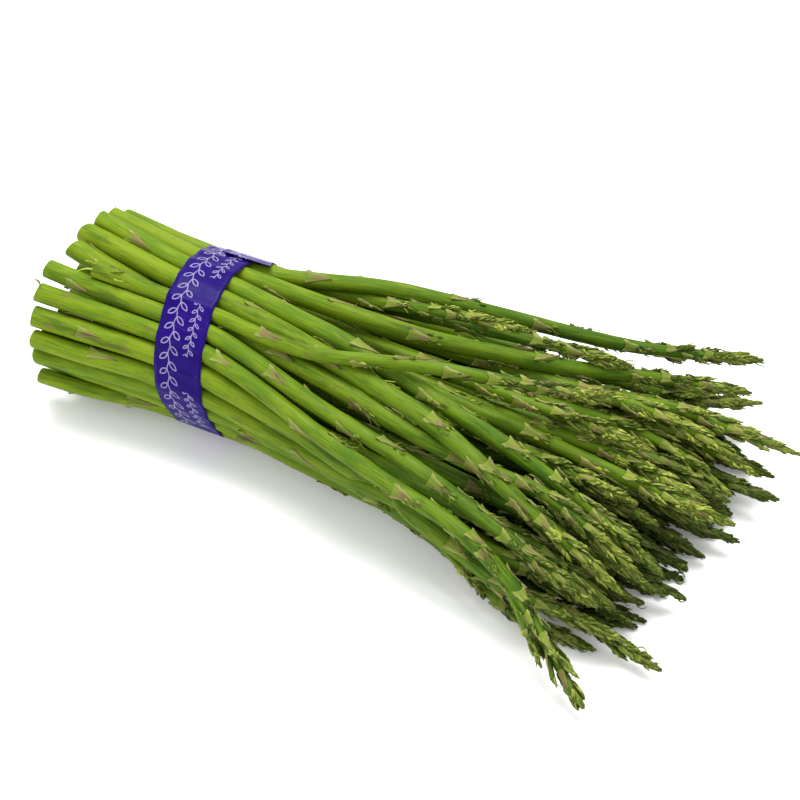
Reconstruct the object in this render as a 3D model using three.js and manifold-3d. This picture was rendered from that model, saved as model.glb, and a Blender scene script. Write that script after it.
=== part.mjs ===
// A tied bunch of green asparagus lying on its side, in millimetres, +Z up.
// X runs along the bunch from the cut ends to the tips, and z = 0 is the surface it lies on.

import * as THREE from 'three';
import Module from 'manifold-3d';

const wasm = await Module();
wasm.setup();

// Size of the bunch
const HALF_WIDTH = 37.5;
const HALF_HEIGHT = 31.5;
const CENTRE_HEIGHT = 32.5;
const CUT_END_SPLAY = 1.13;
const SPEAR_COUNT = 59;
const MEAN_LENGTH = 281;
const LENGTH_SPREAD = 12;
const TIP_LINE = 277;
const TIP_SLANT = 0.2;

// Spears, from the tape outwards
const OUTER_RING_COUNT = 25;
const SECOND_RING_COUNT = 19;
const THIRD_RING_COUNT = 11;
const HIDDEN_OUTER_RADIUS = 3.6;
const HIDDEN_FROM = 236;
const HIDDEN_TO = 368;
const SECOND_RING_RADIUS = 3.75;
const CORE_RADIUS = 4.05;
const RADIUS_SPREAD = 0.35;
const NECK_RATIO = 0.76;
const BUTT_SWELL = 1.05;
const STEM_SIDES = 6;
const CLEARANCE = 0.36;
const STRAIGHT_TOLERANCE = 0.19;

// Heads
const HEAD_LENGTH = 58;
const HEAD_RADIUS = 4.7;
const HEAD_LEVELS = 5;
const HEAD_WIDEST = 0.36;
const SCALE_DEPTH = 0.2;
const SCALE_STEP = 0.2;
const TIP_RADIUS = 0.8;

// Bracts on the stems
const BRACT_LENGTH = 13;
const BRACT_LIFT = 0.9;
const BRACT_SPACING = 30;
const INNER_BRACT_START = 110;
const INNER_BRACT_SPACING = 56;
const GOLDEN_ANGLE = 137.5;

// Tape
const TAPE_START = 57;
const TAPE_WIDTH = 21;
const TAPE_THICKNESS = 0.6;
const TAPE_CLEARANCE = 0.3;
const TAPE_POINTS = 64;
const TAPE_LEAN_Y = 0.075;
const TAPE_LEAN_Z = 0.175;
const TAPE_LEAN_REACH = 6.5;
const TAIL_FROM = 16;
const TAIL_TO = 61;
const TAIL_STEPS = 9;
const TAIL_SLIP = 9;

// Stations along the bunch, where every spear's centre line bends
const STATION_STEP = 25;
const STATION_COUNT = 13;
const SUBSTEPS = 5;
const SUBSTEP = STATION_STEP / SUBSTEPS;

// Spears of the side that faces up and to the front, read off by eye: at is the angle round the
// tape in degrees, end the y and z of the cut end and cut its x, via the points the stem passes
// and tip its end.
const FRONT_SPEARS = [
  {
    at: 52, r: 3.3, cut: 8, end: [24, 57], tip: [264, 90, 30],
    via: [[115, 31, 56], [165, 48, 47], [215, 68, 32.5]],
  },
  {
    at: 67, r: 3.8, cut: 6, end: [18, 61], tip: [265, 75, 25],
    via: [[115, 11, 56], [157, 19, 48.5], [193, 35.5, 40.5], [232, 59, 32]],
  },
  { at: 82, r: 4.0, cut: 5, end: [11, 63.5], tip: [270, -30, 20], via: [[130, -8, 60], [194, -22, 52]] },
  { at: 98, r: 4.2, cut: 4, end: [3, 63.5], tip: [263, -51, 24], via: [[137, -20, 58], [188, -32, 50]] },
  { at: 113, r: 4.0, cut: 5, end: [-8.6, 63], tip: [266, -44, 28], via: [[120, -24, 56], [172, -33, 50]] },
  { at: 126, r: 3.1, cut: 20, end: [-18.5, 61.5], tip: [230, 14, 54], via: [[119, -27, 61], [170, -12, 66]] },
  { at: 137, r: 3.6, cut: 0, end: [-20, 60], tip: [257, -60, 26], via: [[121, -34, 50], [187, -46, 44]] },
  {
    at: 150, r: 3.7, cut: 0, end: [-29, 53], tip: [266, -92, 8],
    via: [[120, -40, 45], [157, -50.5, 42], [204, -57.5, 37.5], [228, -65.5, 26]],
  },
  { at: 164, r: 4.2, cut: 1, end: [-34.4, 45], tip: [267, -57, 10], via: [[124, -38, 38]] },
  { at: 178, r: 3.7, cut: 3, end: [-38, 37], tip: [258, -43, 9], via: [[145, -42, 24], [205, -45, 21]] },
  {
    at: 192, r: 3.3, cut: 3, end: [-38, 28], tip: [284, -64, 7],
    via: [[103, -30, 18], [145, -36, 17], [190, -45, 14], [220, -53, 12]],
  },
  {
    at: 205, r: 3.0, cut: 4, end: [-36, 20], tip: [258, -60, 5],
    via: [[100, -22, 12], [145, -29, 11], [187, -39, 8], [215, -49, 6]],
  },
  { at: 218, r: 3.3, cut: 0, end: [-31, 11], tip: [258, -34, 5], via: [[100, -16, 8], [145, -23, 6]] },
];

// Spears of the far side that show between the front ones
const FAR_SPEARS = [
  { at: 22, r: 3.5, cut: 2, tip: [268, 82, 15], via: [[215, 60, 21], [246, 70, 12]] },
  { at: 37, r: 3.4, cut: 4, tip: [184, 40, 52], via: [[150, 35, 53]] },
];

// Tips that show past the front spears, given to the spears inside the bunch
const INNER_TIPS = [
  [294, 51, 22], [273, 4, 40], [286, 0, 25], [293, 32, 14], [248, 8, 50], [250, -6, 36],
  [259, -8, 30], [256, -14, 24], [268, -20, 16], [261, -56, 30], [277, 35, 36], [265, 72, 16],
  [266, -48, 18], [279, -27, 7], [286, 10, 8], [223, 47, 47],
];

// Small side shoots: the spear they leave, where, and where they end
const SIDE_SHOOTS = [
  { spear: 7, from: 218, tip: [247, -86, 12] },
  { spear: 10, from: 178, tip: [212, -60.5, 9.5] },
];

const clamp = (v, low, high) => Math.min(high, Math.max(low, v));
const mix = (a, b, t) => a + (b - a) * t;
const smooth = (t) => t * t * (3 - 2 * t);
const radians = (degrees) => degrees * Math.PI / 180;

// A repeatable sequence of numbers from 0 to 1
function makeRandom(seed) {
  let state = seed >>> 0;
  return () => {
    state = (Math.imul(state, 1664525) + 1013904223) >>> 0;
    return state / 4294967296;
  };
}

const random = makeRandom(20419);
const spread = (amount) => (random() * 2 - 1) * amount;

// A place in the tied section: the angle in degrees and the depth in from its edge
function sectionPoint(angle, depth) {
  const a = radians(angle);
  const y = (HALF_WIDTH - depth) * Math.cos(a);
  const z = CENTRE_HEIGHT + (HALF_HEIGHT - depth) * Math.sin(a);
  return [y, z];
}

// A hidden spear fans out from its place in the section, the more so the lower it lies
function fannedTip(place) {
  const length = MEAN_LENGTH + spread(LENGTH_SPREAD);
  const y = clamp(place[0] * 1.75 + spread(7), -40, 62);
  const z = 7 + Math.max(0, place[1] - 14) * 0.5 + random() * 5;
  const x = Math.min(length - (y - place[0]) ** 2 / (1.7 * length), TIP_LINE + TIP_SLANT * y - 6 * random());
  return [x, y, z];
}

function makeSpears() {
  const spears = [];
  const add = (place, r, cut, tip, via, end) => {
    const head = HEAD_LENGTH * (0.92 + 0.16 * random()) * Math.sqrt(r / 3.8);
    const bulge = HEAD_RADIUS * (0.9 + 0.055 * r + spread(0.06)) / 1.1;
    spears.push({ place, r, cut, tip, via, end, head, bulge });
  };
  for (const s of [...FRONT_SPEARS, ...FAR_SPEARS]) {
    add(sectionPoint(s.at, s.r), s.r, s.cut, s.tip, s.via, s.end);
  }
  const hidden = OUTER_RING_COUNT - spears.length;
  for (let i = 0; i < hidden; i += 1) {
    const r = HIDDEN_OUTER_RADIUS + spread(RADIUS_SPREAD);
    const place = sectionPoint(mix(HIDDEN_FROM, HIDDEN_TO, i / (hidden - 1)), r);
    add(place, r, random() * 7, fannedTip(place), []);
  }
  const inner = [];
  for (let i = 0; i < SPEAR_COUNT - OUTER_RING_COUNT; i += 1) {
    if (i < SECOND_RING_COUNT) {
      inner.push(sectionPoint(i * 360 / SECOND_RING_COUNT + 7, 11.5));
    } else if (i < SECOND_RING_COUNT + THIRD_RING_COUNT) {
      inner.push(sectionPoint((i - SECOND_RING_COUNT) * 360 / THIRD_RING_COUNT, 19.5));
    } else {
      inner.push([(i - SECOND_RING_COUNT - THIRD_RING_COUNT - 1.5) * 7, CENTRE_HEIGHT + spread(2)]);
    }
  }
  const tips = inner.map((place) => fannedTip(place));
  for (const wanted of INNER_TIPS) {
    let best = -1;
    let bestDistance = Infinity;
    inner.forEach((place, i) => {
      const d = Math.hypot(tips[i][1] - wanted[1], (tips[i][2] - wanted[2]) * 2);
      if (!tips[i].taken && d < bestDistance) {
        best = i;
        bestDistance = d;
      }
    });
    tips[best] = [...wanted];
    tips[best].taken = true;
  }
  inner.forEach((place, i) => {
    const base = i < SECOND_RING_COUNT ? SECOND_RING_RADIUS : CORE_RADIUS;
    add(place, base + spread(RADIUS_SPREAD), random() * 9, tips[i].slice(0, 3), []);
  });
  return spears;
}

// The outline of a head from its base (0) to its tip (1)
function headRadius(spear, t) {
  const neck = spear.r * NECK_RATIO;
  if (t < HEAD_WIDEST) {
    return mix(neck, spear.bulge, smooth(t / HEAD_WIDEST));
  }
  const u = (t - HEAD_WIDEST) / (1 - HEAD_WIDEST);
  return mix(spear.bulge, TIP_RADIUS, u ** 1.7);
}

function radiusAt(spear, x) {
  const headStart = spear.tip[0] - spear.head;
  if (x >= headStart) {
    return headRadius(spear, Math.min(1, (x - headStart) / spear.head));
  }
  if (x < TAPE_START) {
    return spear.r * mix(BUTT_SWELL, 1, Math.max(0, x / TAPE_START));
  }
  const t = clamp((x - TAPE_START - TAPE_WIDTH) / (headStart - TAPE_START - TAPE_WIDTH), 0, 1);
  return spear.r * mix(1, NECK_RATIO, t);
}

// The tape lies askew: how far it is shifted along the bunch at a place in the section
const tapeLean = (y, z) => -TAPE_LEAN_Y * y - TAPE_LEAN_Z * (z - CENTRE_HEIGHT);
const tapeUnderside = TAPE_START + tapeLean(0, 0);
const underTape = (x) => x > tapeUnderside - 5 && x < tapeUnderside + TAPE_WIDTH + 5;

// The centre lines: y and z of each spear at each station. The spears start as lines through the
// tape to their tips, swell from thin to full size and push one another clear, while each stays
// as straight as it can, sinks onto the surface and reaches for its own points.
function layOut(spears) {
  const count = spears.length;
  const ys = spears.map(() => new Float64Array(STATION_COUNT));
  const zs = spears.map(() => new Float64Array(STATION_COUNT));
  const substations = (STATION_COUNT - 1) * SUBSTEPS;
  const radii = spears.map((s) => {
    const list = new Float64Array(substations + 1);
    for (let m = 0; m <= substations; m += 1) {
      const x = m * SUBSTEP;
      const present = x > s.cut - SUBSTEP && x < s.tip[0] + SUBSTEP;
      list[m] = present ? radiusAt(s, clamp(x, s.cut, s.tip[0])) : 0;
    }
    return list;
  });

  const middle = TAPE_START + TAPE_WIDTH / 2;
  spears.forEach((s, i) => {
    const splayed = [s.place[0] * CUT_END_SPLAY, mix(CENTRE_HEIGHT, s.place[1], CUT_END_SPLAY)];
    const points = [[0, ...(s.end || splayed)], [middle, ...s.place]];
    points.push(...s.via, s.tip);
    for (let k = 0; k < STATION_COUNT; k += 1) {
      const x = k * STATION_STEP;
      let j = 0;
      while (j < points.length - 2 && x > points[j + 1][0]) {
        j += 1;
      }
      const t = (x - points[j][0]) / (points[j + 1][0] - points[j][0]);
      ys[i][k] = mix(points[j][1], points[j + 1][1], t);
      zs[i][k] = mix(points[j][2], points[j + 1][2], t);
    }
  });

  const move = (i, m, dy, dz) => {
    const k = Math.min(STATION_COUNT - 2, Math.floor(m / SUBSTEPS));
    const t = m / SUBSTEPS - k;
    const scale = 1 / (t * t + (1 - t) * (1 - t));
    ys[i][k] += dy * (1 - t) * scale;
    zs[i][k] += dz * (1 - t) * scale;
    ys[i][k + 1] += dy * t * scale;
    zs[i][k + 1] += dz * t * scale;
  };

  const pushApart = (growth, rate) => {
    let worst = 0;
    for (let m = 0; m <= substations; m += 1) {
      const k = Math.min(STATION_COUNT - 2, Math.floor(m / SUBSTEPS));
      const t = m / SUBSTEPS - k;
      for (let i = 0; i < count; i += 1) {
        const ri = radii[i][m];
        if (!ri) {
          continue;
        }
        for (let j = i + 1; j < count; j += 1) {
          const rj = radii[j][m];
          if (!rj) {
            continue;
          }
          const need = (ri + rj) * growth + CLEARANCE;
          const dy = mix(ys[j][k] - ys[i][k], ys[j][k + 1] - ys[i][k + 1], t);
          if (dy > need * 1.2 || dy < -need * 1.2) {
            continue;
          }
          const dz = mix(zs[j][k] - zs[i][k], zs[j][k + 1] - zs[i][k + 1], t);
          const flat = dy * dy + dz * dz;
          if (flat > need * need * 1.3) {
            continue;
          }
          const sy = (ys[i][k + 1] - ys[i][k] + ys[j][k + 1] - ys[j][k]) / (2 * STATION_STEP);
          const sz = (zs[i][k + 1] - zs[i][k] + zs[j][k + 1] - zs[j][k]) / (2 * STATION_STEP);
          const along = (dy * sy + dz * sz) ** 2 / (1 + sy * sy + sz * sz);
          const apart = Math.sqrt(Math.max(1e-9, flat - along));
          const short = need - apart;
          if (short > 0) {
            worst = Math.max(worst, short);
            const size = Math.sqrt(Math.max(1e-9, flat));
            const push = 0.5 * rate * short / size;
            move(i, m, -dy * push, -dz * push);
            move(j, m, dy * push, dz * push);
          }
        }
      }
    }
    return worst;
  };

  const keepAboveSurface = () => {
    for (let i = 0; i < count; i += 1) {
      for (let m = 0; m <= substations; m += 1) {
        if (radii[i][m]) {
          const k = Math.min(STATION_COUNT - 2, Math.floor(m / SUBSTEPS));
          const z = mix(zs[i][k], zs[i][k + 1], m / SUBSTEPS - k);
          const slope = (zs[i][k + 1] - zs[i][k]) / STATION_STEP;
          const tape = underTape(m * SUBSTEP) ? TAPE_THICKNESS + TAPE_CLEARANCE : 0;
          const lowest = radii[i][m] * Math.sqrt(1 + slope * slope) + tape;
          if (z < lowest) {
            move(i, m, 0, lowest - z);
          }
        }
      }
    }
  };

  // Under the tape every stem stays inside the tied section
  const tied = [TAPE_START - TAPE_LEAN_REACH, TAPE_START + TAPE_WIDTH + TAPE_LEAN_REACH]
    .map((x) => Math.round(x / SUBSTEP));
  const tie = (rate) => {
    for (let i = 0; i < count; i += 1) {
      for (let m = tied[0]; m <= tied[1]; m += 1) {
        const k = Math.min(STATION_COUNT - 2, Math.floor(m / SUBSTEPS));
        const y = mix(ys[i][k], ys[i][k + 1], m / SUBSTEPS - k);
        const z = mix(zs[i][k], zs[i][k + 1], m / SUBSTEPS - k) - CENTRE_HEIGHT;
        const out = Math.hypot(y / (HALF_WIDTH - radii[i][m]), z / (HALF_HEIGHT - radii[i][m]));
        if (out > 1) {
          move(i, m, y * (1 / out - 1) * rate, z * (1 / out - 1) * rate);
        }
      }
    }
  };

  const straighten = (offset, rate) => {
    for (let i = 0; i < count; i += 1) {
      const own = spears[i].via.length ? rate * 0.6 : rate;
      for (const line of [ys[i], zs[i]]) {
        const old = Float64Array.from(line);
        for (let k = offset; k < STATION_COUNT - offset; k += 1) {
          line[k] += own * ((old[k - offset] + old[k + offset]) / 2 - old[k]);
        }
      }
    }
  };

  const reach = (i, point, rate) => {
    const m = clamp(Math.round(point[0] / SUBSTEP), 0, substations);
    const k = Math.min(STATION_COUNT - 2, Math.floor(m / SUBSTEPS));
    const t = m / SUBSTEPS - k;
    const y = mix(ys[i][k], ys[i][k + 1], t);
    const z = mix(zs[i][k], zs[i][k + 1], t);
    move(i, m, (point[1] - y) * rate, (point[2] - z) * rate);
  };

  const rounds = 520;
  for (let round = 0; round < rounds; round += 1) {
    const progress = round / rounds;
    const growth = Math.min(1, 0.3 + progress * 1.1);
    spears.forEach((s, i) => {
      reach(i, s.tip, 0.15);
      reach(i, [middle, ...s.place], 0.1);
      for (const point of s.via) {
        reach(i, point, 0.35);
      }
      for (let k = 5; k < STATION_COUNT; k += 1) {
        zs[i][k] -= s.via.length ? 0.01 : 0.05;
      }
      if (s.end) {
        reach(i, [s.cut, ...s.end], 0.15);
      } else {
        ys[i][0] += 0.05 * (ys[i][3] * CUT_END_SPLAY - ys[i][0]);
        zs[i][0] += 0.05 * (mix(CENTRE_HEIGHT, zs[i][3], CUT_END_SPLAY) - zs[i][0]);
      }
    });
    straighten(1, 0.25);
    straighten(2, 0.15);
    straighten(3, 0.1);
    pushApart(growth, 0.7);
    tie(0.8);
    keepAboveSurface();
  }
  let worst = 0;
  for (let round = 0; round < 700; round += 1) {
    if (round < 450) {
      straighten(1, 0.08);
      straighten(2, 0.02);
      tie(0.3);
      spears.forEach((s, i) => {
        reach(i, s.tip, 0.03);
        for (const point of s.via) {
          reach(i, point, 0.07);
        }
      });
    }
    worst = pushApart(1, 0.8);
    keepAboveSurface();
    if (round > 450 && worst < 0.03) {
      break;
    }
  }
  return { ys, zs, worst };
}

const spears = makeSpears();
const lines = layOut(spears);

// The centre of a spear at x, and its slopes there
function centreAt(i, x) {
  const k = clamp(Math.floor(x / STATION_STEP), 0, STATION_COUNT - 2);
  const t = x / STATION_STEP - k;
  const y = mix(lines.ys[i][k], lines.ys[i][k + 1], t);
  const z = mix(lines.zs[i][k], lines.zs[i][k + 1], t);
  const sy = (lines.ys[i][k + 1] - lines.ys[i][k]) / STATION_STEP;
  const sz = (lines.zs[i][k + 1] - lines.zs[i][k]) / STATION_STEP;
  return { y, z, sy, sz };
}

// At a station the slopes are the mean of the two sides
function slopesAt(i, x) {
  const before = centreAt(i, x - 0.01);
  const after = centreAt(i, x + 0.01);
  return { sy: (before.sy + after.sy) / 2, sz: (before.sz + after.sz) / 2 };
}

// A closed tube through rings of equal sides, each ring in a plane across X
function tubeGeometry(rings) {
  const sides = rings[0].length;
  const positions = [];
  const indices = [];
  for (const ring of rings) {
    for (const point of ring) {
      positions.push(...point);
    }
  }
  for (let r = 0; r + 1 < rings.length; r += 1) {
    for (let j = 0; j < sides; j += 1) {
      const a = r * sides + j;
      const b = r * sides + (j + 1) % sides;
      const c = a + sides;
      const d = b + sides;
      indices.push(a, b, d, a, d, c);
    }
  }
  const last = (rings.length - 1) * sides;
  for (let j = 1; j + 1 < sides; j += 1) {
    indices.push(0, j + 1, j);
    indices.push(last, last + j, last + j + 1);
  }
  const geometry = new THREE.BufferGeometry();
  geometry.setAttribute('position', new THREE.Float32BufferAttribute(positions, 3));
  geometry.setIndex(indices);
  return geometry;
}

// A ring of a spear: factors scale its corners, the first of which points down
function spearRing(i, x, radius, factors) {
  const centre = centreAt(i, x);
  const { sy, sz } = slopesAt(i, x);
  const ring = [];
  for (let j = 0; j < STEM_SIDES; j += 1) {
    const a = -Math.PI / 2 + j * 2 * Math.PI / STEM_SIDES;
    const uy = Math.cos(a);
    const uz = Math.sin(a);
    const lean = (uy * sy + uz * sz) ** 2 / (1 + sy * sy + sz * sz);
    const r = radius * factors[j] / Math.sqrt(1 - lean);
    ring.push([x, centre.y + uy * r, Math.max(0, centre.z + uz * r)]);
  }
  return ring;
}

const EVEN_RING = Array(STEM_SIDES).fill(1);

// Rings of the head: at each level three scales stand out over a sunk ring just past them, and
// the next level is turned by one corner.
function headRings(i) {
  const spear = spears[i];
  const start = spear.tip[0] - spear.head;
  const rings = [];
  for (let level = 0; level < HEAD_LEVELS; level += 1) {
    const t = 0.13 + level / (HEAD_LEVELS + 0.2);
    const proud = EVEN_RING.map((one, j) => ((j + level) % 2 ? one - SCALE_DEPTH : one));
    const x = start + t * spear.head;
    rings.push(spearRing(i, x, headRadius(spear, t), proud));
    const after = t + 1.6 / spear.head;
    const sunk = EVEN_RING.map((one) => one - SCALE_STEP);
    rings.push(spearRing(i, x + 1.6, headRadius(spear, after), sunk));
  }
  rings.push(spearRing(i, spear.tip[0], TIP_RADIUS, EVEN_RING));
  return rings;
}

// How far the stem at x strays from a straight taper between two other places
function strayAt(i, x, from, to) {
  const [a, b, c] = [from, x, to].map((at) => ({ ...centreAt(i, at), r: radiusAt(spears[i], at) }));
  const t = (x - from) / (to - from);
  const off = Math.hypot(b.y - mix(a.y, c.y, t), b.z - mix(a.z, c.z, t));
  return Math.max(off, Math.abs(b.r - mix(a.r, c.r, t)));
}

// The stem has a ring at each station, save where it runs on straight
function stemRings(i) {
  const spear = spears[i];
  const start = spear.tip[0] - spear.head;
  const places = [spear.cut];
  for (let k = 1; k < STATION_COUNT; k += 1) {
    const x = k * STATION_STEP;
    if (x > spear.cut + 4 && x < start - 4) {
      places.push(x);
    }
  }
  places.push(start);
  const kept = [places[0]];
  for (let n = 1; n + 1 < places.length; n += 1) {
    const from = kept[kept.length - 1];
    const to = places[n + 1];
    const passed = places.filter((x) => x > from && x < to);
    if (passed.some((x) => strayAt(i, x, from, to) > STRAIGHT_TOLERANCE)) {
      kept.push(places[n]);
    }
  }
  kept.push(start);
  return kept.map((x) => spearRing(i, x, radiusAt(spear, x), EVEN_RING));
}

function toSolid(geometry) {
  const vertProperties = new Float32Array(geometry.attributes.position.array);
  const triVerts = new Uint32Array(geometry.index.array);
  return new wasm.Manifold(new wasm.Mesh({ numProp: 3, vertProperties, triVerts }));
}

function toGeometry(solid) {
  const mesh = solid.getMesh();
  const geometry = new THREE.BufferGeometry();
  geometry.setAttribute('position', new THREE.BufferAttribute(new Float32Array(mesh.vertProperties), 3));
  geometry.setIndex(new THREE.BufferAttribute(new Uint32Array(mesh.triVerts), 1));
  return geometry;
}

// How far a point is from the nearest other spear's surface
function roomAt(point, self) {
  let room = point[2];
  spears.forEach((other, j) => {
    if (j !== self && point[0] > other.cut - 2 && point[0] < other.tip[0] + 2) {
      const c = centreAt(j, point[0]);
      const dy = point[1] - c.y;
      const dz = point[2] - c.z;
      const along = (dy * c.sy + dz * c.sz) ** 2 / (1 + c.sy * c.sy + c.sz * c.sz);
      const x = clamp(point[0], other.cut, other.tip[0]);
      room = Math.min(room, Math.sqrt(dy * dy + dz * dz - along) - radiusAt(other, x));
    }
  });
  return room;
}

// The corners of a bract: a low wedge with its raised lip at x and its point towards the tip
function bractCorners(i, x, angle) {
  const c = centreAt(i, x);
  const r = radiusAt(spears[i], x);
  const along = new THREE.Vector3(1, c.sy, c.sz).normalize();
  const out = new THREE.Vector3(0, Math.cos(angle), Math.sin(angle));
  out.addScaledVector(along, -out.dot(along)).normalize();
  const side = new THREE.Vector3().crossVectors(along, out);
  const centre = new THREE.Vector3(x, c.y, c.z);
  const corner = (a, o, s) => centre.clone().addScaledVector(along, a).addScaledVector(out, o)
    .addScaledVector(side, s).toArray();
  return [
    corner(0, r * 0.42, r * 0.76),
    corner(0, r * 0.42, -r * 0.76),
    corner(1.4, r + BRACT_LIFT, 0),
    corner(BRACT_LENGTH, r * 0.88, 0),
    corner(4, r * 0.1, 0),
  ];
}

const BRACT_FACES = [0, 3, 2, 2, 3, 1, 0, 2, 1, 0, 1, 4, 1, 3, 4, 3, 0, 4];

// Bracts follow one another at the golden angle and turn aside, or are left out, where another
// spear is too near.
function bracts(i) {
  const spear = spears[i];
  const solids = [];
  const end = spear.tip[0] - spear.head - BRACT_LENGTH - 1;
  const turns = [0, 25, -25, 50, -50, 75, -75];
  const outer = i < OUTER_RING_COUNT;
  const spacing = outer ? BRACT_SPACING : INNER_BRACT_SPACING;
  let step = 0;
  let x = (outer ? spear.cut + 14 : INNER_BRACT_START) + 16 * random();
  for (; x < end; x += spacing * (0.85 + 0.3 * random())) {
    step += 1;
    const c = centreAt(i, x);
    const tapeX = TAPE_START + tapeLean(c.y, c.z);
    const nearTape = x + BRACT_LENGTH > tapeX - 2 && x < tapeX + TAPE_WIDTH + 3;
    if (nearTape) {
      continue;
    }
    for (const turn of turns) {
      const corners = bractCorners(i, x, radians(step * GOLDEN_ANGLE + i * 40 + turn));
      const lip = corners[2];
      const half = corners[3].map((v, n) => (v + lip[n]) / 2);
      if (roomAt(lip, i) > 0.3 && roomAt(half, i) > 0.3) {
        const geometry = new THREE.BufferGeometry();
        geometry.setAttribute('position', new THREE.Float32BufferAttribute(corners.flat(), 3));
        geometry.setIndex(BRACT_FACES);
        solids.push(toSolid(geometry));
        break;
      }
    }
  }
  return solids;
}

// A side shoot: a thin stem that swells into a small head
function sideShoot(shoot) {
  const c = centreAt(shoot.spear, shoot.from);
  const root = new THREE.Vector3(shoot.from, c.y, c.z);
  const tip = new THREE.Vector3(...shoot.tip);
  const swell = [1, 1, 1.05, 1.5, 1.15, 1.5, 1.05, 1.25, 0.4];
  const places = [0, 0.3, 0.55, 0.66, 0.7, 0.79, 0.83, 0.9, 1];
  const rings = places.map((t, n) => {
    const centre = root.clone().lerp(tip, t);
    centre.z += 2 * t * (1 - t);
    const ring = [];
    for (let j = 0; j < STEM_SIDES; j += 1) {
      const a = -Math.PI / 2 + j * 2 * Math.PI / STEM_SIDES;
      const r = 1.5 * swell[n];
      ring.push([centre.x, centre.y + r * Math.cos(a), centre.z + r * Math.sin(a)]);
    }
    return ring;
  });
  return toSolid(tubeGeometry(rings));
}

function spearGeometry(i) {
  const rings = [...stemRings(i), ...headRings(i)];
  let solid = toSolid(tubeGeometry(rings));
  for (const bract of bracts(i)) {
    solid = solid.add(bract);
  }
  for (const shoot of SIDE_SHOOTS) {
    if (shoot.spear === i) {
      solid = solid.add(sideShoot(shoot));
    }
  }
  return toGeometry(solid);
}

// How far the bunch reaches in a direction, anywhere between two places along it
function reachOf(angle, from, to) {
  const ny = Math.cos(angle);
  const nz = Math.sin(angle);
  let far = -Infinity;
  spears.forEach((spear, i) => {
    for (let x = from; x <= to; x += 1) {
      const c = centreAt(i, x);
      const stretch = Math.sqrt(1 + c.sy * c.sy + c.sz * c.sz);
      far = Math.max(far, ny * c.y + nz * (c.z - CENTRE_HEIGHT) + radiusAt(spear, x) * stretch);
    }
  });
  return far;
}

// The same all round, for a band of some width that starts where the tape does
function reachesOf(width) {
  const reaches = [];
  for (let n = 0; n < 360; n += 1) {
    const [y, z] = sectionPoint(n, 0);
    const start = TAPE_START + tapeLean(y, z);
    reaches.push(reachOf(radians(n), start - 2, start + width + 2) + TAPE_CLEARANCE);
  }
  return reaches;
}

const tiedReaches = reachesOf(TAPE_WIDTH);
const tailReaches = reachesOf(TAPE_WIDTH + TAIL_SLIP);

// A point on the hull of the stems, a given way out from it
function hullPoint(reaches, angle, offset) {
  let radius = Infinity;
  reaches.forEach((far, n) => {
    const across = Math.cos(radians(n) - angle);
    if (across > 0.3) {
      radius = Math.min(radius, (far + offset) / across);
    }
  });
  return [radius * Math.cos(angle), CENTRE_HEIGHT + radius * Math.sin(angle)];
}

// The tape runs straight across the gaps between the outer stems, and is flat underneath
function tapeLoop(offset) {
  const loop = [];
  for (let j = 0; j < TAPE_POINTS; j += 1) {
    const [y, z] = hullPoint(tiedReaches, j * 2 * Math.PI / TAPE_POINTS, offset);
    loop.push([y, Math.max(TAPE_THICKNESS - offset, z)]);
  }
  return loop;
}

// The end of the tape laps over its start on the top and slips off sideways as it goes
function tailSolid() {
  const rings = [];
  for (let n = 0; n <= TAIL_STEPS; n += 1) {
    const t = n / TAIL_STEPS;
    const angle = radians(mix(TAIL_FROM, TAIL_TO, t));
    const low = hullPoint(tailReaches, angle, TAPE_THICKNESS - 0.1);
    const high = hullPoint(tailReaches, angle, TAPE_THICKNESS * 2);
    const start = TAPE_START + TAIL_SLIP * t ** 1.4 + tapeLean(...high);
    const end = start + TAPE_WIDTH;
    rings.push([[start, ...low], [end, ...low], [end, ...high], [start, ...high]]);
  }
  return toSolid(tubeGeometry(rings));
}

function tapeGeometry() {
  const inner = tapeLoop(0);
  const outer = tapeLoop(TAPE_THICKNESS);
  const positions = [];
  const indices = [];
  for (const [loop, edge] of [[inner, 0], [outer, 0], [outer, 1], [inner, 1]]) {
    for (const [y, z] of loop) {
      positions.push(TAPE_START + edge * TAPE_WIDTH + tapeLean(y, z), y, z);
    }
  }
  for (let band = 0; band < 4; band += 1) {
    for (let j = 0; j < TAPE_POINTS; j += 1) {
      const next = (j + 1) % TAPE_POINTS;
      const a = band * TAPE_POINTS + j;
      const b = band * TAPE_POINTS + next;
      const c = (band + 1) % 4 * TAPE_POINTS + j;
      const d = (band + 1) % 4 * TAPE_POINTS + next;
      indices.push(a, b, d, a, d, c);
    }
  }
  const geometry = new THREE.BufferGeometry();
  geometry.setAttribute('position', new THREE.Float32BufferAttribute(positions, 3));
  geometry.setIndex(indices);
  return toGeometry(toSolid(geometry).add(tailSolid()));
}

const bunch = new THREE.Group();
spears.forEach((spear, i) => {
  const colour = new THREE.Color().setHSL(0.225 + spread(0.015), 0.62, 0.34 + spread(0.04));
  const material = new THREE.MeshStandardMaterial({ color: colour, roughness: 0.45, metalness: 0 });
  const mesh = new THREE.Mesh(spearGeometry(i), material);
  mesh.name = `spear_${String(i + 1).padStart(2, '0')}`;
  bunch.add(mesh);
});

const tapeMaterial = new THREE.MeshStandardMaterial({ color: 0x2a1a86, roughness: 0.3, metalness: 0 });
const tape = new THREE.Mesh(tapeGeometry(), tapeMaterial);
tape.name = 'tape_band';
bunch.add(tape);

// The origin is under the middle of the whole bunch, on the surface
const box = new THREE.Box3().setFromObject(bunch);
const middle = box.getCenter(new THREE.Vector3());
bunch.position.set(-middle.x, -middle.y, -box.min.z);

export default bunch;
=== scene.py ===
"""The looks of a tied bunch of green asparagus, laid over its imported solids. Lengths are in metres."""

import itertools

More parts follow.
